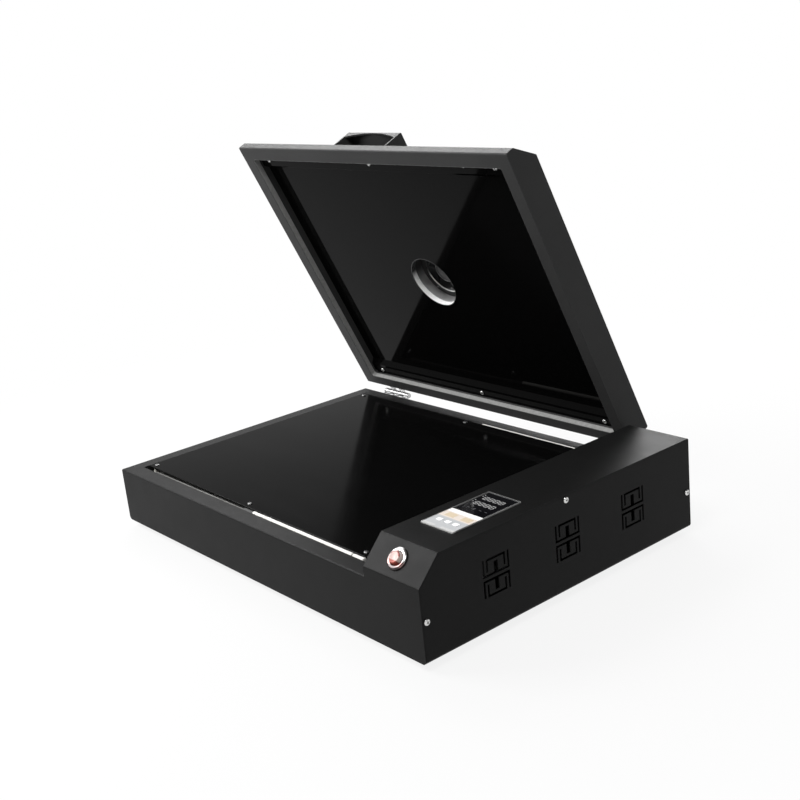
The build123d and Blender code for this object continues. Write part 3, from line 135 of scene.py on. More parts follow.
class Material:
    """A Principled material with short ways to add nodes. Places are in metres of the shared frame."""

    def __init__(self, name, color, rough, metal=0.0, **inputs):
        self.data = bpy.data.materials.new(name)
        self.data.use_nodes = True
        self.tree = self.data.node_tree
        self.shader = self.tree.nodes["Principled BSDF"]
        self.coords = self.add("ShaderNodeTexCoord").outputs["Object"]
        self.shader.inputs["Base Color"].default_value = (*color, 1)
        self.shader.inputs["Roughness"].default_value = rough
        self.shader.inputs["Metallic"].default_value = metal
        for key, value in inputs.items():
            self.shader.inputs[key.replace("_", " ")].default_value = value

    def add(self, kind, **settings):
        return new_node(self.tree, kind, **settings)

    def link(self, source, target):
        self.tree.links.new(source, target)

    def put(self, name, source):
        self.link(source, self.shader.inputs[name])

    def stretched(self, x, y, z):
        node = self.add("ShaderNodeMapping")
        node.inputs["Scale"].default_value = (x, y, z)
        self.link(self.coords, node.inputs["Vector"])
        return node.outputs["Vector"]

    def noise(self, scale, detail=3.0, rough=0.55, coords=None, distortion=0.0):
        node = self.add("ShaderNodeTexNoise")
        node.inputs["Scale"].default_value = scale
        node.inputs["Detail"].default_value = detail
        node.inputs["Roughness"].default_value = rough
        node.inputs["Distortion"].default_value = distortion
        self.link(coords or self.coords, node.inputs["Vector"])
        return node.outputs["Fac"]

    def cells(self, scale, output="Distance"):
        node = self.add("ShaderNodeTexVoronoi")
        node.inputs["Scale"].default_value = scale
        self.link(self.coords, node.inputs["Vector"])
        return node.outputs[output]

    def wave(self, scale, direction):
        node = self.add("ShaderNodeTexWave", bands_direction=direction)
        node.inputs["Scale"].default_value = scale
        self.link(self.coords, node.inputs["Vector"])
        return node.outputs["Fac"]

    def range(self, source, from_low, from_high, to_low=0.0, to_high=1.0, smooth=False):
        return ramp(self.tree, source, from_low, from_high, to_low, to_high, smooth)

    def times(self, first, second):
        node = self.add("ShaderNodeMath", operation="MULTIPLY")
        self.link(first, node.inputs[0])
        self.link(second, node.inputs[1])
        return node.outputs[0]

    def colors(self, factor, first, second):
        """Two colours, or the results of other nodes, mixed by a factor."""
        node = self.add("ShaderNodeMix", data_type="RGBA")
        self.link(factor, node.inputs["Factor"])
        for key, value in (("A", first), ("B", second)):
            socket = next(s for s in node.inputs if s.name == key and s.type == "RGBA")
            if isinstance(value, tuple):
                socket.default_value = (*value, 1)
            else:
                self.link(value, socket)
        return next(s for s in node.outputs if s.type == "RGBA")

    def clouded(self, first, second, scale, detail=3.0, low=0.3, high=0.7, most=1.0):
        """Two colours mixed by noise."""
        return self.colors(self.range(self.noise(scale, detail), low, high, 0.0, most), first, second)

    def roughen(self, scale, low, high, detail=3.0):
        """Lets the roughness vary between two values."""
        self.put("Roughness", self.range(self.noise(scale, detail), 0.3, 0.7, low, high))

    def axis(self, name):
        node = self.add("ShaderNodeSeparateXYZ")
        self.link(self.coords, node.inputs[0])
        return node.outputs[name]

    def away(self, point):
        node = self.add("ShaderNodeVectorMath", operation="SUBTRACT")
        self.link(self.coords, node.inputs[0])
        node.inputs[1].default_value = point
        return node.outputs[0]

    def along(self, point, direction):
        """How far a place lies from a point along a direction."""
        node = self.add("ShaderNodeVectorMath", operation="DOT_PRODUCT")
        self.link(self.away(point), node.inputs[0])
        node.inputs[1].default_value = direction
        return node.outputs["Value"]

    def radius(self, point, direction):
        """How far a place lies from the axis through a point."""
        foot = self.add("ShaderNodeVectorMath", operation="SCALE")
        foot.inputs[0].default_value = direction
        self.link(self.along(point, direction), foot.inputs["Scale"])
        node = self.add("ShaderNodeVectorMath", operation="DISTANCE")
        self.link(self.away(point), node.inputs[0])
        self.link(foot.outputs[0], node.inputs[1])
        return node.outputs["Value"]

    def hinge_side(self, low, high):
        """0 on the side of the fan's hole toward the lid's front edge, and 1 toward its hinge."""
        return self.range(self.along(FAN_POINT, LID_BACK), low, high, smooth=True)

    def bump(self, height, distance, normal=None):
        node = self.add("ShaderNodeBump")
        node.inputs["Strength"].default_value = 1.0
        node.inputs["Distance"].default_value = distance
        self.link(height, node.inputs["Height"])
        if normal:
            self.link(normal, node.inputs["Normal"])
        self.put("Normal", node.outputs["Normal"])
        return node.outputs["Normal"]


# Materials
def powder_coat(name, tone):
    m = Material(name, grey(tone), 0.4, Specular_IOR_Level=0.065)
    speck = m.range(m.noise(2600.0, 2.0), 0.35, 0.75)
    mottled = m.clouded(grey(tone * 0.93), grey(tone * 1.07), 9.0, 4.0)
    m.put("Base Color", m.colors(m.range(speck, 0.55, 1.0, 0.0, 0.5), mottled, grey(tone * 2.6)))
    m.roughen(35.0, 0.37, 0.43, 4.0)
    peel = m.bump(m.noise(420.0, 2.0), 0.00006)
    m.bump(speck, 0.00003, peel)
    return m


def gloss_coat(name, smooth, rough, coat):
    m = Material(name, grey(0.002), rough, Specular_IOR_Level=0.03, Coat_Weight=coat, Coat_Roughness=0.12)
    smear = m.noise(3.0, 4.0, coords=m.stretched(1.0, 5.0, 1.0), distortion=0.6)
    m.put("Roughness", m.range(smear, 0.3, 0.7, smooth, rough))
    m.put("Base Color", m.clouded(grey(0.0016), grey(0.0035), 900.0, low=0.45, high=0.75))
    m.bump(m.noise(14.0, 2.0), 0.00005)
    return m


def dull_black():
    m = Material("clip_black", grey(0.015), 0.6)
    m.roughen(300.0, 0.5, 0.7)
    m.bump(m.noise(1500.0), 0.00003)
    return m


def brushed_metal(name, color, rough, scale=160.0):
    m = Material(name, color, rough, 1.0)
    brushed = m.noise(scale, 5.0, 0.65, coords=m.stretched(1.0, 14.0, 14.0))
    m.put("Roughness", m.range(brushed, 0.25, 0.75, rough * 0.7, rough * 1.5))
    m.bump(brushed, 0.000012)
    return m


def plated(name, color, rough, scale=160.0):
    m = brushed_metal(name, color, rough, scale)
    darker = tuple(c * 0.82 for c in color)
    m.put("Base Color", m.clouded(color, darker, 70.0, 4.0, 0.35))
    return m


def galvanised():
    m = Material("bright_sheet", (0.6, 0.61, 0.62), 0.38, 1.0)
    spangle = m.range(m.cells(90.0, "Color"), 0.2, 0.8)
    m.put("Base Color", m.colors(spangle, (0.66, 0.67, 0.68), (0.48, 0.49, 0.5)))
    m.roughen(240.0, 0.3, 0.46, 4.0)
    m.bump(m.noise(300.0, 4.0, coords=m.stretched(1, 8, 1)), 0.00002)
    return m


def rubber():
    m = Material("rubber_black", grey(0.02), 0.75)
    m.put("Base Color", m.clouded(grey(0.018), (0.03, 0.029, 0.028), 50.0, low=0.4))
    m.roughen(400.0, 0.65, 0.85)
    m.bump(m.noise(1800.0), 0.00005)
    return m


def silicone():
    m = Material("silicone", (0.42, 0.1, 0.04), 0.55)
    weave = m.times(m.wave(260.0, "X"), m.wave(260.0, "Y"))
    m.put("Base Color", m.colors(weave, (0.36, 0.08, 0.03), (0.5, 0.13, 0.05)))
    m.roughen(80.0, 0.48, 0.65)
    m.bump(weave, 0.00012)
    return m


def fibre():
    m = Material("white_fibre", (0.85, 0.84, 0.8), 0.95, Sheen_Weight=0.15)
    strands = m.noise(260.0, 6.0, 0.7, coords=m.stretched(1.0, 3.0, 3.0), distortion=1.6)
    white = m.colors(m.range(strands, 0.3, 0.7), (0.6, 0.59, 0.56), (0.8, 0.79, 0.76))
    # the first stretch of strip, at the left, is painted dark: painted shade for the shadow it lies in
    middle = case(250, 0, 0).x
    left = m.range(m.axis("X"), middle - 0.003, middle + 0.003, 1.0, 0.0, True)
    left_painted_shade = m.times(left, m.range(m.noise(24.0, 4.0), 0.3, 0.7, 0.8, 0.98))
    m.put("Base Color", m.colors(left_painted_shade, white, (0.025, 0.024, 0.022)))
    m.roughen(60.0, 0.88, 1.0)
    m.bump(strands, 0.0005)
    return m


def ceramic():
    m = Material("ceramic", (0.8, 0.78, 0.72), 0.65)
    m.put("Base Color", m.clouded((0.8, 0.78, 0.72), (0.62, 0.6, 0.55), 700.0, low=0.5, high=0.75))
    m.roughen(90.0, 0.55, 0.75)
    m.bump(m.noise(1400.0), 0.00006)
    return m


def black_plastic():
    m = Material("black_plastic", (0.014, 0.014, 0.015), 0.42, Specular_IOR_Level=0.45)
    grain = m.cells(1600.0)
    m.put("Base Color", m.clouded((0.012, 0.012, 0.013), (0.018, 0.018, 0.019), 25.0))
    m.put("Roughness", m.range(grain, 0.0, 0.7, 0.36, 0.5))
    m.bump(grain, 0.00004)
    return m


def window_black():
    m = Material("window_black", (0.004, 0.004, 0.005), 0.06, Coat_Weight=0.4, Coat_Roughness=0.03)
    m.roughen(120.0, 0.05, 0.13, 4.0)
    m.put("Base Color", m.clouded((0.003, 0.003, 0.004), (0.007, 0.007, 0.008), 40.0))
    m.bump(m.noise(30.0), 0.00003)
    return m


def keypad_film():
    m = Material("keypad_pale", (0.6, 0.6, 0.58), 0.45)
    # grey round the keys, and a warm pale field behind them
    edge = case(0, PANEL_FRONT, 0).y + 0.0235
    field = m.range(m.axis("Y"), edge - 0.001, edge + 0.001, smooth=True)
    base = m.colors(field, (0.42, 0.43, 0.44), (0.66, 0.59, 0.53))
    m.put("Base Color", m.clouded(base, (0.42, 0.41, 0.4), 700.0, low=0.45, high=0.75, most=0.3))
    m.roughen(90.0, 0.38, 0.52)
    m.bump(m.noise(1200.0), 0.00002)
    return m


def key_film():
    m = Material("key_grey", (0.6, 0.61, 0.62), 0.4)
    m.put("Base Color", m.clouded((0.86, 0.87, 0.88), (0.8, 0.81, 0.82), 220.0))
    m.roughen(300.0, 0.33, 0.48)
    m.bump(m.noise(1500.0), 0.00002)
    return m


def cap_red():
    """A red lens: its face clouded pale as a painted reflection, with painted shade in dark red round its
    upper rim, its side wall pale as a painted highlight, and clear red at its lower edge.
    """
    m = Material("cap_red", (0.6, 0.02, 0.012), 0.3, Specular_IOR_Level=0.25, Subsurface_Weight=0.2,
                 Subsurface_Radius=(0.003, 0.001, 0.0008))
    height = m.along(BUTTON_POINT, BUTTON_UP)
    slope = m.along(BUTTON_POINT, BUTTON_SLOPE)
    cloud = m.range(m.noise(160.0), 0.35, 0.7)
    pale = m.colors(cloud, (0.62, 0.48, 0.45), (0.53, 0.38, 0.35))
    rim_painted_shade = m.colors(cloud, (0.3, 0.07, 0.06), (0.22, 0.045, 0.04))
    clear = m.colors(cloud, (0.36, 0.07, 0.045), (0.28, 0.045, 0.03))
    wall = m.colors(cloud, (0.8, 0.7, 0.66), (0.7, 0.58, 0.54))
    upper_rim_shade = m.times(m.range(m.radius(BUTTON_POINT, BUTTON_UP), 0.0048, 0.0058, smooth=True),
                        m.range(slope, 0.0008, 0.0024, smooth=True))
    face = m.colors(upper_rim_shade, pale, rim_painted_shade)
    body = m.colors(m.range(height, 0.0050, 0.0058, 1.0, 0.0, True), face, wall)
    m.put("Base Color", m.colors(m.range(slope, -0.0040, -0.0024, 1.0, 0.0, True), body, clear))
    m.roughen(90.0, 0.3, 0.42)
    m.bump(m.cells(500.0), 0.00003)
    return m


def bezel_metal():
    """Plated like the chrome, with a red cast toward its lower edge as a painted reflection of the cap, and
    painted shade at that edge.
    """
    m = brushed_metal("bezel_chrome", grey(0.4), 0.22)
    slope = m.along(BUTTON_POINT, BUTTON_SLOPE)
    cloud = m.range(m.noise(70.0, 4.0), 0.35, 0.7)
    bright = m.colors(cloud, (0.4, 0.395, 0.39), (0.33, 0.325, 0.32))
    warm = m.colors(cloud, (0.3, 0.19, 0.18), (0.24, 0.14, 0.13))
    lower_edge_shade = m.colors(cloud, (0.07, 0.06, 0.06), (0.05, 0.042, 0.042))
    upper = m.colors(m.range(slope, -0.004, 0.0005, 1.0, 0.0, True), bright, warm)
    m.put("Base Color", m.colors(m.range(slope, -0.0085, -0.0065, 1.0, 0.0, True), upper, lower_edge_shade))
    return m


def cast_aluminium():
    m = Material("sink_aluminium", (0.75, 0.75, 0.76), 0.35, 1.0)
    lines = m.noise(400.0, 4.0, coords=m.stretched(12, 1, 12))
    m.put("Roughness", m.range(lines, 0.3, 0.7, 0.28, 0.45))
    m.put("Base Color", m.clouded((0.76, 0.76, 0.77), (0.64, 0.64, 0.65), 60.0))
    m.bump(lines, 0.00002)
    return m


def collar_enamel():
    """White, with its front edge black like the liner, and painted shade in dark grey toward the lid's
    front.
    """
    m = Material("collar_enamel", (0.9, 0.9, 0.89), 0.3)
    white = m.clouded((0.92, 0.92, 0.91), (0.84, 0.84, 0.83), 60.0, 4.0, 0.35)
    white_with_painted_shade = m.colors(m.hinge_side(-0.013, -0.003), grey(0.05), white)
    wall = m.range(m.along(FAN_POINT, LID_UP), 0.0166, 0.0169)
    m.put("Base Color", m.colors(wall, grey(0.004), white_with_painted_shade))
    m.roughen(200.0, 0.22, 0.36)
    m.bump(m.noise(500.0), 0.00002)
    return m


def sleeve_sheet():
    m = Material("sleeve_grey", grey(0.1), 0.45, 0.3)
    lit_grey = m.clouded(grey(0.36), grey(0.27), 80.0, 4.0, 0.35)
    # dark toward the lid's front edge: painted shade
    m.put("Base Color", m.colors(m.hinge_side(-0.012, 0.012), grey(0.03), lit_grey))
    m.roughen(240.0, 0.38, 0.55)
    m.bump(m.noise(900.0), 0.00002)
    return m


def frame_plastic():
    m = Material("frame_plastic", grey(0.2), 0.35)
    bare = m.clouded((0.22, 0.22, 0.215), grey(0.15), 90.0, 4.0, 0.35)
    # the keypad's film laps over the frame's front part
    edge = case(0, 69.5, 0).y
    film = m.range(m.axis("Y"), edge - 0.0005, edge + 0.0005, 1.0, 0.0)
    m.put("Base Color", m.colors(film, bare, (0.36, 0.36, 0.355)))
    m.roughen(300.0, 0.28, 0.42)
    m.bump(m.cells(1600.0), 0.00003)
    return m


def gloss_plastic():
    m = Material("gloss_plastic", (0.02, 0.02, 0.021), 0.14, Specular_IOR_Level=0.6)
    m.put("Base Color", m.clouded((0.024, 0.024, 0.025), (0.015, 0.015, 0.016), 120.0, low=0.35))
    m.roughen(300.0, 0.1, 0.22)
    m.bump(m.noise(260.0), 0.00006)
    return m


def seal_felt():
    m = Material("seal_grey", (0.3, 0.3, 0.29), 0.7)
    m.put("Base Color", m.clouded((0.27, 0.27, 0.265), (0.2, 0.2, 0.195), 300.0, 4.0))
    m.roughen(90.0, 0.6, 0.8)
    m.bump(m.noise(900.0), 0.00006)
    return m


def lip_white():
    m = Material("lip_white", (0.85, 0.85, 0.84), 0.3)
    # dark grey toward the lid's front edge: painted shade
    m.put("Base Color", m.colors(m.hinge_side(-0.004, 0.012), grey(0.04), (0.88, 0.88, 0.87)))
    m.roughen(300.0, 0.255, 0.36)
    return m


def plain(name, color, rough, shade=0.85):
    """A printed colour, slightly uneven."""
    m = Material(name, color, rough)
    m.put("Base Color", m.clouded(color, tuple(c * shade for c in color), 600.0))
    m.roughen(300.0, rough * 0.85, rough * 1.2)
    return m


def glow(name, level, strength):
    """A grey that shines a little."""
    m = Material(name, grey(level), 0.3, Emission_Strength=strength, Emission_Color=(*grey(level), 1))
    m.put("Emission Color", m.clouded(grey(level), grey(level * 0.8), 900.0))
    m.roughen(400.0, 0.2, 0.4)
    return m


made = {
    "body_paint": powder_coat("body_paint", 0.0078),
    "gloss_black": gloss_coat("gloss_black", 0.08, 0.16, 0.05),
    "clip_black": dull_black(),
    "chrome": plated("chrome", (0.86, 0.86, 0.87), 0.14),
    "screw_steel": plated("screw_steel", (0.72, 0.72, 0.71), 0.24, 400.0),
    "bright_sheet": galvanised(),
    "rubber_black": rubber(),
    "silicone": silicone(),
    "white_fibre": fibre(),
    "ceramic": ceramic(),
    "probe_steel": plated("probe_steel", (0.62, 0.62, 0.61), 0.3, 500.0),
    "black_plastic": black_plastic(),
    "window_black": window_black(),
    "keypad_pale": keypad_film(),
    "key_grey": key_film(),
    "cap_red": cap_red(),
    "sink_aluminium": cast_aluminium(),
}

# Nodes that look different from the others of their slot
hinge_steel = plated("hinge_steel", grey(0.5), 0.26)
rotor_black = gloss_plastic()
special = {
    "fan_collar": collar_enamel(),
    "duct_sleeve": sleeve_sheet(),
    "fan_rotor": rotor_black,
    "fan_motor": rotor_black,
    "lid_liner": gloss_coat("liner_gloss", 0.03, 0.07, 0.0),
    # the lid's and the handle's coats are the body's powder coat made lighter: painted light on their faces
    "lid_shell": powder_coat("lid_paint_lightened", 0.035),
    "handle": powder_coat("handle_paint_lightened", 0.044),
}
for side in ("left", "right"):
    for part in ("base_leaf", "lid_leaf", "pin"):
        special["%s_hinge_%s" % (side, part)] = hinge_steel

slot_of = {row["node"]: row["material_slot"] for row in frame["record"]["subparts"]}
for name, item in nodes.items():
    material = special.get(name) or made[slot_of[name]]
    for place in item.material_slots:
        place.link = "OBJECT"
        place.material = material.data


# Mesh helpers. Their outlines and profiles are in millimetres.
def piece(name, mesh, slot, body, replaced=(), smooth=True, material=None):
    """Puts a mesh in the scene as a piece that rides on a body."""
    data = bpy.data.meshes.new(name)
    bmesh.ops.recalc_face_normals(mesh, faces=mesh.faces)
    for face in mesh.faces:
        face.smooth = smooth
    mesh.to_mesh(data)
    mesh.free()
    item = bpy.data.objects.new(name, data)
    scene.collection.objects.link(item)
    data.materials.append((material or made[slot]).data)
    if smooth:
        data.set_sharp_from_angle(angle=radians(35))
    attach(item, body)
    if replaced:
        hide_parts(*replaced)
    return item


def turned(mesh, profile, place, steps):
    """Adds a solid turned about a place's z from points of radius and height."""
    rings = []
    for radius, height in profile:
        if radius < 1e-6:
            rings.append([mesh.verts.new(place @ Vector((0, 0, height / 1000)))])
            continue
        ring = []
        for step in range(steps):
            turn = 2 * pi * step / steps
            spot = Vector((radius * cos(turn), radius * sin(turn), height)) / 1000
            ring.append(mesh.verts.new(place @ spot))
        rings.append(ring)
    for low, high in zip(rings, rings[1:]):
        if len(low) == 1 and len(high) == 1:
            continue
        for step in range(steps):
            after = (step + 1) % steps
            if len(low) == 1:
                mesh.faces.new((low[0], high[step], high[after]))
            elif len(high) == 1:
                mesh.faces.new((low[step], high[0], low[after]))
            else:
                mesh.faces.new((low[step], high[step], high[after], low[after]))


def turned_ring(mesh, profile, place, steps):
    """Adds a turned solid whose profile comes back to its first point."""
    turned(mesh, profile, place, steps)
    bmesh.ops.remove_doubles(mesh, verts=mesh.verts, dist=1e-6)


def prism(mesh, outline, place, low, high):
    """Adds a solid between two heights over an outline."""
    bottom = [mesh.verts.new(place @ (Vector((x, y, low)) / 1000)) for x, y in outline]
    upper = [mesh.verts.new(place @ (Vector((x, y, high)) / 1000)) for x, y in outline]
    mesh.faces.new(list(reversed(bottom)))
    mesh.faces.new(upper)
    count = len(outline)
    for step in range(count):
        after = (step + 1) % count
        mesh.faces.new((bottom[step], bottom[after], upper[after], upper[step]))


CORNER_STEPS = 4


def rounded_loop(mesh, box, z, bend, place):
    """Adds the points of a rectangle with rounded corners."""
    x0, y0, x1, y1 = box
    spots = []
    for cx, cy, start in ((x1 - bend, y1 - bend, 0), (x0 + bend, y1 - bend, 90),
                          (x0 + bend, y0 + bend, 180), (x1 - bend, y0 + bend, 270)):
        for step in range(CORNER_STEPS + 1):
            turn = radians(start + 90 / CORNER_STEPS * step)
            spots.append((cx + bend * cos(turn), cy + bend * sin(turn)))
    return [mesh.verts.new(place @ (Vector((x, y, z)) / 1000)) for x, y in spots]


def shrunk(box, by):
    x0, y0, x1, y1 = box
    return (x0 + by, y0 + by, x1 - by, y1 - by)


def ring_frame(mesh, outer, wall, place, low, high, edge, corner, inner_corner):
    """Adds a rectangular frame between two heights, with its top's outer edge rounded off."""
    inner = shrunk(outer, wall)
    rows = ((inner, low, inner_corner), (outer, low, corner), (outer, high - edge, corner),
            (shrunk(outer, edge * 0.3), high - edge * 0.3, corner - edge * 0.3),
            (shrunk(outer, edge), high, corner - edge), (inner, high, inner_corner))
    loops = [rounded_loop(mesh, box, z, bend, place) for box, z, bend in rows]
    for first, second in zip(loops, loops[1:] + loops[:1]):
        count = len(first)
        for step in range(count):
            after = (step + 1) % count
            mesh.faces.new((first[step], first[after], second[after], second[step]))


# Screws
def screw_profile(head, rise, shank, length):
    profile = [(0, -length), (shank * 0.5, -length), (shank, -length + shank * 0.6)]
    pitch = shank * 0.42
    height = -length + shank * 0.6
    while height + pitch < -0.3:
        profile += [(shank * 0.84, height + pitch / 2), (shank, height + pitch)]
        height += pitch
    profile += [(shank * 0.9, -0.2), (shank * 0.9, 0.0), (head * 0.96, 0.0), (head, rise * 0.16)]
    for step in range(9):
        turn = pi / 2 * step / 8
        profile.append((head * (0.42 + 0.58 * cos(turn)), rise * (0.3 + 0.7 * sin(turn))))
    return profile + [(0, rise)]


def cross_cutter(mesh, head, rise):
    """Adds the tapered cross that cuts a screw's recess."""
    arm, half = head * 0.56, head * 0.115
    outline = [(half, half), (arm, half), (arm, -half), (half, -half), (half, -arm), (-half, -arm),
               (-half, -half), (-arm, -half), (-arm, half), (-half, half), (-half, arm), (half, arm)]

    def tapered(value):
        return value * (0.45 if abs(value) > half else 0.8)

    low = [mesh.verts.new(Vector((tapered(x), tapered(y), rise * 0.3)) / 1000) for x, y in outline]
    high = [mesh.verts.new(Vector((x, y, rise * 1.05)) / 1000) for x, y in outline]
    mesh.faces.new(low)
    mesh.faces.new(high)
    count = len(outline)
    for step in range(count):
        after = (step + 1) % count
        mesh.faces.new((low[step], low[after], high[after], high[step]))


def helper_object(name, mesh):
    bmesh.ops.recalc_face_normals(mesh, faces=mesh.faces)
    data = bpy.data.meshes.new(name)
    mesh.to_mesh(data)
    mesh.free()
    item = bpy.data.objects.new(name, data)
    scene.collection.objects.link(item)
    return item


def screw_mesh(head, rise, shank, length):
    """A pan-head screw with a cross recess, its seat at z = 0, as a mesh to copy."""
    solid = bmesh.new()
    turned(solid, screw_profile(head, rise, shank, length), Matrix.Identity(4), 40)
    blank = helper_object("screw_blank", solid)
    cutter = bmesh.new()
    cross_cutter(cutter, head, rise)
    cross = helper_object("screw_cutter", cutter)
    modifier = blank.modifiers.new("cross", "BOOLEAN")
    modifier.object = cross
    modifier.operation = "DIFFERENCE"
    modifier.solver = "EXACT"
    depsgraph = bpy.context.evaluated_depsgraph_get()
    result = bpy.data.meshes.new_from_object(blank.evaluated_get(depsgraph))
    for item in (blank, cross):
        bpy.data.objects.remove(item)
    # the recess takes the second material
    for polygon in result.polygons:
        spot = polygon.center * 1000
        if 0 < spot.z < rise * 0.9 and spot.xy.length < head * 0.6:
            polygon.material_index = 1
    return result


def screws(name, size, places, body, node, material=None):
    """Copies of one screw at the given places, each turned a little differently."""
    mesh = screw_mesh(*size)
    joined = bmesh.new()
    for index, place in enumerate(places):
        copy = bmesh.new()
        copy.from_mesh(mesh)
        turn = Matrix.Rotation(0.4 + 1.13 * index, 4, "Z")
        bmesh.ops.transform(copy, matrix=place @ turn, verts=copy.verts)
        part = bpy.data.meshes.new("screw_copy")
        copy.to_mesh(part)
        copy.free()
        joined.from_mesh(part)
    item = piece(name, joined, "screw_steel", body, [node], material=material)
    item.data.materials.append(made["clip_black"].data)


def grid(xs, ys):
    return [(x, y) for x in xs for y in ys]


# Head radius, head height, shank radius and length of each kind
PLATE_SCREW = (2.9, 1.5, 1.9, 16.0)
SIDE_SCREW = BASE_HINGE_SCREW = (3.5, 2.0, 1.9, 6.5)
FOOT_SCREW = (3.5, 2.0, 1.9, 9.6)
LID_HINGE_SCREW = (3.5, 2.0, 1.9, 6.2)
HANDLE_SCREW = (3.5, 2.0, 1.9, 7.2)
LINER_SCREW = (3.0, 1.6, 1.4, 5.0)
INLET_SCREW = (2.8, 1.6, 1.4, 8.5)
FAN_SCREW = (2.6, 1.6, 1.4, 17.2)

SIDE_INSET, SIDE_LOW = 6.0, 44.5
side_y = (SIDE_INSET, CASE_DEPTH / 2, CASE_DEPTH - SIDE_INSET)
side_seats = [seat(case(x, y, z), normal, BACK)
              for x, normal, edge in ((CASE_WIDTH, X_DIR, TOP), (0, -X_DIR, RIM))
              for y, z in zip(side_y, (SIDE_LOW, edge - SIDE_INSET, SIDE_LOW))]
screws("side_screw_heads", SIDE_SCREW, side_seats, "base", "side_screws")

FOOT_SEAT = 4.4
screws("foot_screw_heads", FOOT_SCREW,
       [seat(case(x, y, FOOT_SEAT - FOOT_HEIGHT), -UP) for x, y in grid((40.0, 548.0), (40.0, 368.5))],
       "base", "foot_screws")
screws("plate_screw_heads", PLATE_SCREW,
       [seat(case(x, y, RIM + SHEET), UP) for x, y in grid((32.55, 249.35, 466.15), (34.35, 377.85))],
       "base", "plate_screws", plated("darkened_steel", grey(0.2), 0.3, 400.0))

hinge_places = [(middle + across, down) for middle in (62.7, 469.0)
                for across, down in ((-16.0, 14.0), (16.0, 14.0), (0.0, 25.0))]
screws("base_hinge_screw_heads", BASE_HINGE_SCREW,
       [seat(case(x, CASE_DEPTH + SHEET, HINGE_Z - z), BACK) for x, z in hinge_places],
       "base", "base_hinge_screws")
screws("lid_hinge_screw_heads", LID_HINGE_SCREW,
       [seat(lid(x, CASE_DEPTH + SHEET, z), LID_BACK) for x, z in hinge_places],
       "lid", "lid_hinge_screws")

HANDLE_X, HANDLE_SCREW_Y, HANDLE_REACH = 244.75, 35.2, 32.0
screws("handle_screw_heads", HANDLE_SCREW,
       [seat(lid(HANDLE_X + reach, HANDLE_SCREW_Y, LID_TOP + SHEET), LID_UP)
        for reach in (-HANDLE_REACH, HANDLE_REACH)],
       "lid", "handle_screws")
screws("liner_screw_heads", LINER_SCREW,
       [seat(lid(x, y, LINER_FLANGE), -LID_UP) for x, y in grid((38.5, 248.0, 461.0), (26.0, 386.0))],
       "lid", "liner_screws")
screws("inlet_screw_heads", INLET_SCREW,
       [seat(case(PANEL_X + reach, CASE_DEPTH + 3.0, 46.0), BACK) for reach in (-20.0, 20.0)],
       "base", "inlet_screws")
screws("fan_screw_heads", FAN_SCREW,
       [seat(lid(FAN_X + dx, FAN_Y + dy, LID_TOP + 16.0), LID_UP)
        for dx, dy in grid((-25.0, 25.0), (-25.0, 25.0))],
       "lid", "fan_screws")


# Button: a rounded ring on its barrel, and a dished cap. Heights are from the ring's seat.
BEZEL, RISE, BORE, BARREL, BARREL_LENGTH, BARREL_FLOOR = 12.25, 2.6, 7.2, 9.5, 28.0, -8.0
CAP, CAP_TOP, CAP_BOTTOM, CAP_EDGE, DISH, DISH_DEPTH = 6.8, 6.4, -5.8, 0.8, 5.2, 0.7
BUTTON_STEPS = 96
button_place = seat(BUTTON_POINT, BUTTON_UP)


def quarter(count):
    """Sines and cosines round a quarter turn."""
    return [(sin(pi / 2 * step / count), cos(pi / 2 * step / count)) for step in range(count + 1)]


ring_profile = [(BORE, BARREL_FLOOR), (0, BARREL_FLOOR), (0, -BARREL_LENGTH), (BARREL, -BARREL_LENGTH),
                (BARREL, 0), (BEZEL, 0)]
ring_profile += [(BEZEL - 2.45 * (1 - c), 0.9 + 1.7 * s) for s, c in quarter(8)]
ring_profile += [(BORE + 1.2, RISE), (BORE + 0.9, RISE - 0.08), (BORE + 0.1, RISE - 0.95),
                 (BORE, RISE - 1.2), (BORE, BARREL_FLOOR)]
ring_mesh = bmesh.new()
turned_ring(ring_mesh, ring_profile, button_place, BUTTON_STEPS)
piece("button_ring", ring_mesh, "chrome", "base", ["button_bezel"], material=bezel_metal())

cap_profile = [(0, CAP_BOTTOM), (CAP, CAP_BOTTOM), (CAP, CAP_TOP - CAP_EDGE)]
cap_profile += [(CAP - CAP_EDGE * (1 - c), CAP_TOP - CAP_EDGE * (1 - s)) for s, c in quarter(6)[1:]]
cap_profile += [(DISH * share, CAP_TOP - DISH_DEPTH * (1 - share ** 2))
                for share in (1 - step / 8 for step in range(9))]
cap_mesh = bmesh.new()
turned(cap_mesh, cap_profile, button_place, BUTTON_STEPS)
piece("button_lens", cap_mesh, "cap_red", "button", ["button_cap"])


# Controller: its thin frame, then what shows in the display and what is printed on the keypad. Places
# on its face are the case's own.
PRINT_LOW, PRINT_HIGH = -0.05, 0.06
BORDER = 0.9
panel_seat = Matrix.Translation(case(0, 0, TOP))
panel_face = Matrix.Translation(case(0, 0, TOP + 1.2))
key_face = Matrix.Translation(case(0, 0, TOP + 1.6))
frame_mesh = bmesh.new()
ring_frame(frame_mesh, (PANEL_LEFT, PANEL_FRONT, PANEL_RIGHT, PANEL_BACK), BORDER, panel_seat,
           0.0, 1.5, 0.4, 1.6, 0.01)
piece("controller_frame", frame_mesh, "black_plastic", "base", ["controller_bezel"],
      material=frame_plastic())


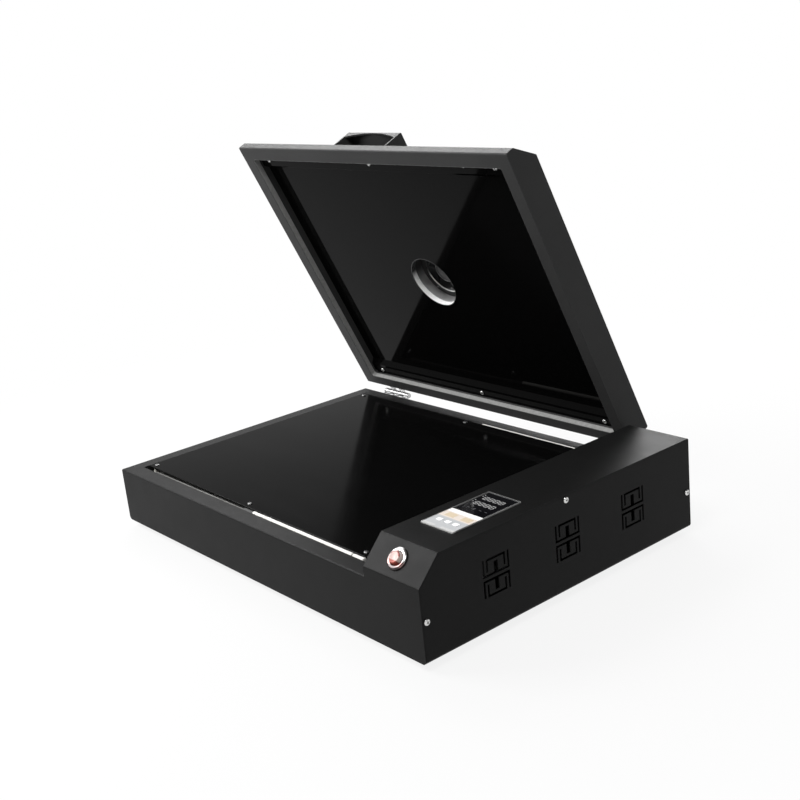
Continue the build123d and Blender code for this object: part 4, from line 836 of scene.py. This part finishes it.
def eights(mesh, left, low, count, width, height, thick):
    """Adds a row of seven-segment eights, from its lower left."""
    half, t = height / 2, thick / 2
    strokes = ((0, height, True), (width, half, False), (width, 0, False), (0, 0, True),
               (0, 0, False), (0, half, False), (0, half, True))
    for index in range(count):
        for dx, dy, flat in strokes:
            x, y = left + index * width * 1.36 + dx, low + dy
            if flat:
                outline = [(x + t * 0.4, y), (x + t * 1.2, y - t), (x + width - t * 1.2, y - t),
                           (x + width - t * 0.4, y), (x + width - t * 1.2, y + t), (x + t * 1.2, y + t)]
            else:
                outline = [(x, y + t * 0.4), (x + t, y + t * 1.2), (x + t, y + half - t * 1.2),
                           (x, y + half - t * 0.4), (x - t, y + half - t * 1.2), (x - t, y + t * 1.2)]
            prism(mesh, outline, panel_face, PRINT_LOW, PRINT_HIGH)


def printed(name, rows, material):
    """Flat bars on the panel's face, from rows of left, right, near and far."""
    mesh = bmesh.new()
    for x0, x1, y0, y1 in rows:
        outline = [(x0, y0), (x1, y0), (x1, y1), (x0, y1)]
        prism(mesh, outline, panel_face, PRINT_LOW, PRINT_HIGH)
    piece(name, mesh, "keypad_pale", "base", smooth=False, material=material)


readout = bmesh.new()
for row_low in (143.2, 129.6):
    eights(readout, 528.6, row_low, 4, 5.6, 6.2, 1.2)
piece("display_digits", readout, "keypad_pale", "base", smooth=False,
      material=glow("digit_glow", 0.24, 0.33))
# The grey line round the display window glows faintly: painted light, a painted highlight along the window's
# edges.
printed("display_frame_line",
        [(521.6, 566.0, 159.2, 159.7), (521.6, 522.1, 110.2, 159.2), (565.5, 566.0, 110.2, 159.2)],
        glow("line_grey", 0.12, 0.1))
lamps = bmesh.new()
for lamp_y in (152.0, 148.5, 137.8, 134.0):
    turned(lamps, [(0, -0.05), (0.7, -0.05), (0.7, 0.05), (0, 0.1)],
           panel_face @ Matrix.Translation((0.5247, lamp_y / 1000, 0)), 16)
piece("display_lamps", lamps, "keypad_pale", "base", material=glow("lamp_grey", 0.34, 0.2))
printed("display_marks",
        [(531.0, 534.6, 119.6, 120.6), (540.0, 542.6, 119.0, 121.4), (548.0, 551.2, 119.6, 120.6),
         (556.0, 559.6, 119.6, 120.6)],
        plain("mark_grey", (0.06, 0.06, 0.065), 0.4))

printed("keypad_bands", [(521.2, 566.4, 101.4, 108.4)], plain("print_white", (0.86, 0.86, 0.85), 0.4, 0.94))
printed("keypad_front_bands", [(521.2, 538.6, 66.8, 70.2), (547.4, 566.4, 66.8, 70.2)],
        plain("print_pale", (0.52, 0.52, 0.515), 0.4, 0.92))
arrow_white = plain("arrow_white", grey(0.92), 0.4, 0.95)
arrows = ((531.8, [(2.0, -2.3), (2.0, 2.3), (-2.2, 0.0)]),
          (544.3, [(-2.3, 2.0), (0.0, -2.2), (2.3, 2.0)]),
          (555.8, [(-2.3, -2.0), (2.3, -2.0), (0.0, 2.2)]))
for number, (key_x, outline) in enumerate(arrows, 1):
    arrow = bmesh.new()
    prism(arrow, outline, key_face @ Matrix.Translation((key_x / 1000, 0.0812, 0)), -0.05, 0.08)
    piece("key_arrow_%d" % number, arrow, "keypad_pale", "key_%d" % number, smooth=False,
          material=arrow_white)
printed("keypad_fields", [(527.0, 540.5, 91.2, 99.4), (550.0, 562.6, 91.2, 99.4)],
        plain("print_tan", (0.6, 0.5, 0.36), 0.45, 0.9))


# Insulation: soft fibre in place of the plain solids
MOST_SPLITS = 9


def felted(name, node, body, cell, proud, coarse, settle=None):
    """A fibre piece in a solid's form. Its skin is divided finely and stands unevenly proud of the solid."""
    mesh = bmesh.new()
    mesh.from_mesh(nodes[node].data)
    if settle:
        for vert in mesh.verts:
            vert.co = settle(vert.co * 1000 - ORIGIN) / 1000
    bmesh.ops.remove_doubles(mesh, verts=mesh.verts, dist=2e-6)
    bmesh.ops.triangulate(mesh, faces=mesh.faces)
    for _ in range(MOST_SPLITS):
        long_edges = [e for e in mesh.edges if e.calc_length() > cell / 1000]
        if not long_edges:
            break
        bmesh.ops.subdivide_edges(mesh, edges=long_edges, cuts=1)
        bmesh.ops.triangulate(mesh, faces=[f for f in mesh.faces if len(f.verts) > 3])
    mesh.normal_update()
    for vert in mesh.verts:
        spot = vert.co * 1000
        swell = 0.5 + 0.5 * noise.noise(spot / coarse)
        tuft = 0.5 + 0.5 * noise.noise(spot / (coarse * 0.2) + Vector((5, 2, 9)))
        vert.co += vert.normal * proud / 1000 * (0.65 * swell + 0.35 * tuft)
    item = piece(name, mesh, "white_fibre", body, [node])


STRIP_FRONT, STRIP_BACK = 24.675, 387.525
STRIP_SPREAD, STRIP_LIFT = 1.12, 0.9
# Where an end face of a strip stands in the solid, and where the fibre's stands
STRIP_ENDS = ((443.05, 455.2), (452.05, 457.3), (478.05, 474.6))


def settled_strip(spot):
    """The strips fill their gap, those at the right stand higher, and their last break is narrow."""
    x, y, z = spot
    for solid_end, fibre_end in STRIP_ENDS:
        if abs(x - solid_end) < 0.9:
            x = fibre_end
    middle = STRIP_FRONT if y < CASE_DEPTH / 2 else STRIP_BACK
    y = middle + (y - middle) * STRIP_SPREAD
    if x > 250.0 and z > RIM - 3.0:
        z += STRIP_LIFT
    return ORIGIN + Vector((x, y, z))


felted("plate_strips", "insulation_strips", "base", 1.6, 0.25, 9.0, settled_strip)
felted("plate_blanket", "insulation_blanket", "base", 7.0, 0.12, 40.0)
felted("plate_board", "insulation_board", "base", 9.0, 0.12, 60.0)
felted("lid_wool", "lid_insulation", "lid", 8.0, 0.12, 40.0)


# Thin trim of the lid: a grey lining round the wall of its opening, a bright lip in the hole for the
# fan, a ring on the rotor's hub and a rivet at the front of the liner
lid_place = Matrix((X_DIR, LID_BACK, LID_UP)).transposed().to_4x4()
lid_place.translation = lid(0, 0, 0)
lining = bmesh.new()
ring_frame(lining, (19.05, 19.05, 481.95, 392.95), 0.6, lid_place, 0.5, 7.2, 0.2, 3.95, 3.35)
piece("opening_lining", lining, "white_fibre", "lid", material=seal_felt())

fan_place = seat(FAN_POINT, LID_UP)
lip = bmesh.new()
turned_ring(lip, [(28.2, 36.5), (28.5, 36.15), (29.5, 36.15), (29.5, 37.2), (28.4, 37.2), (28.15, 36.9),
                  (28.2, 36.5)], fan_place, 72)
piece("duct_lip", lip, "bright_sheet", "lid", material=lip_white())

hub_ring = bmesh.new()
turned_ring(hub_ring, [(13.4, 38.05), (13.6, 37.8), (14.7, 37.8), (14.95, 38.05), (13.4, 38.05)],
            fan_place, 64)
piece("hub_ring", hub_ring, "bright_sheet", "fan", material=plated("hub_steel", grey(0.16), 0.3))

rivet = bmesh.new()
turned(rivet, [(0, -1.2), (1.0, -1.2), (1.0, 0), (1.5, 0), (1.35, 0.45), (0.9, 0.75), (0, 0.85)],
       seat(lid(412.0, 26.0, LINER_FLANGE), -LID_UP), 20)
piece("liner_rivet", rivet, "screw_steel", "lid")


# Stage
FLOOR_RADIUS, FLOOR_DROP, FLOOR_MATTE = 9.0, 0.0004, 0.55


def background_rays(tree):
    """1 for the rays that see the white background: straight, mirrored or through glass."""
    ray = new_node(tree, "ShaderNodeLightPath")
    result = ray.outputs["Is Camera Ray"]
    for kind in ("Is Glossy Ray", "Is Transmission Ray"):
        either = new_node(tree, "ShaderNodeMath", operation="MAXIMUM")
        tree.links.new(result, either.inputs[0])
        tree.links.new(ray.outputs[kind], either.inputs[1])
        result = either.outputs[0]
    return result


def mixed(tree, factor, first, second, output):
    """Two shaders mixed by a factor, to an output node."""
    mix = new_node(tree, "ShaderNodeMixShader")
    for source, socket in zip((factor, first, second), mix.inputs):
        tree.links.new(source, socket)
    tree.links.new(mix.outputs[0], new_node(tree, output).inputs["Surface"])


def white_floor():
    """Matte for the object's light and shadow, and mostly plain white where it is seen."""
    data = bpy.data.materials.new("floor_white")
    data.use_nodes = True
    tree = data.node_tree
    tree.nodes.clear()
    matte = new_node(tree, "ShaderNodeBsdfDiffuse")
    matte.inputs["Color"].default_value = (*grey(FLOOR_MATTE), 1)
    white = new_node(tree, "ShaderNodeEmission")
    white.inputs["Strength"].default_value = 1.0
    distance = new_node(tree, "ShaderNodeVectorMath", operation="LENGTH")
    tree.links.new(new_node(tree, "ShaderNodeTexCoord").outputs["Object"], distance.inputs[0])
    share = new_node(tree, "ShaderNodeMath", operation="MULTIPLY")
    fade = ramp(tree, distance.outputs["Value"], 0.35, 1.1, 0.86, 1.0, True)
    tree.links.new(fade, share.inputs[0])
    tree.links.new(background_rays(tree), share.inputs[1])
    mixed(tree, share.outputs[0], matte.outputs[0], white.outputs[0], "ShaderNodeOutputMaterial")
    return data


floor_mesh = bmesh.new()
bmesh.ops.create_circle(floor_mesh, cap_ends=True, segments=96, radius=FLOOR_RADIUS)
floor_data = bpy.data.meshes.new("floor")
floor_mesh.to_mesh(floor_data)
floor_mesh.free()
floor_data.materials.append(white_floor())
floor = bpy.data.objects.new("floor", floor_data)
floor.location.z = -FLOOR_DROP
scene.collection.objects.link(floor)


def sky(tree, direction, low, high, dim, bright):
    """A background whose strength follows how far a ray points along a direction."""
    along = new_node(tree, "ShaderNodeVectorMath", operation="DOT_PRODUCT")
    tree.links.new(new_node(tree, "ShaderNodeTexCoord").outputs["Generated"], along.inputs[0])
    along.inputs[1].default_value = Vector(direction).normalized()
    background = new_node(tree, "ShaderNodeBackground")
    background.inputs["Color"].default_value = (1, 1, 1, 1)
    strength = ramp(tree, along.outputs["Value"], low, high, dim, bright, True)
    tree.links.new(strength, background.inputs["Strength"])
    return background.outputs[0]


# The room lights the object more from the left and back. Its backdrop is white up to a little above
# the horizon, and darker overhead.
scene.view_settings.view_transform = "Standard"
world = bpy.data.worlds.new("studio")
scene.world = world
world.use_nodes = True
world.node_tree.nodes.clear()
room = sky(world.node_tree, (-0.8, 0.45, 0.4), -0.6, 0.8, 0.05, 0.5)
backdrop = sky(world.node_tree, UP, sin(radians(5)), sin(radians(30)), 1.0, 0.15)
mixed(world.node_tree, background_rays(world.node_tree), room, backdrop, "ShaderNodeOutputWorld")


def lamp(name, place, target, width, height, watts):
    data = bpy.data.lights.new(name, "AREA")
    data.shape = "RECTANGLE"
    data.size, data.size_y = width, height
    data.energy = watts
    item = bpy.data.objects.new(name, data)
    item.location = place
    item.rotation_mode = "QUATERNION"
    item.rotation_quaternion = (Vector(target) - Vector(place)).to_track_quat("-Z", "Y")
    scene.collection.objects.link(item)


lamp("key", (-1.5, -1.25, 1.45), (0.25, -0.2, 0.1), 1.2, 1.0, 53)
lamp("top_left", (-1.6, 0.7, 1.75), (0.05, 0, 0.3), 1.7, 0.9, 50)
lamp("back", (-0.9, 1.7, 1.0), (0.2, 0.1, 0.1), 1.2, 0.9, 21)
lamp("over", (0.55, -1.1, 2.0), (-0.05, 0.1, 0.25), 0.9, 0.6, 33)
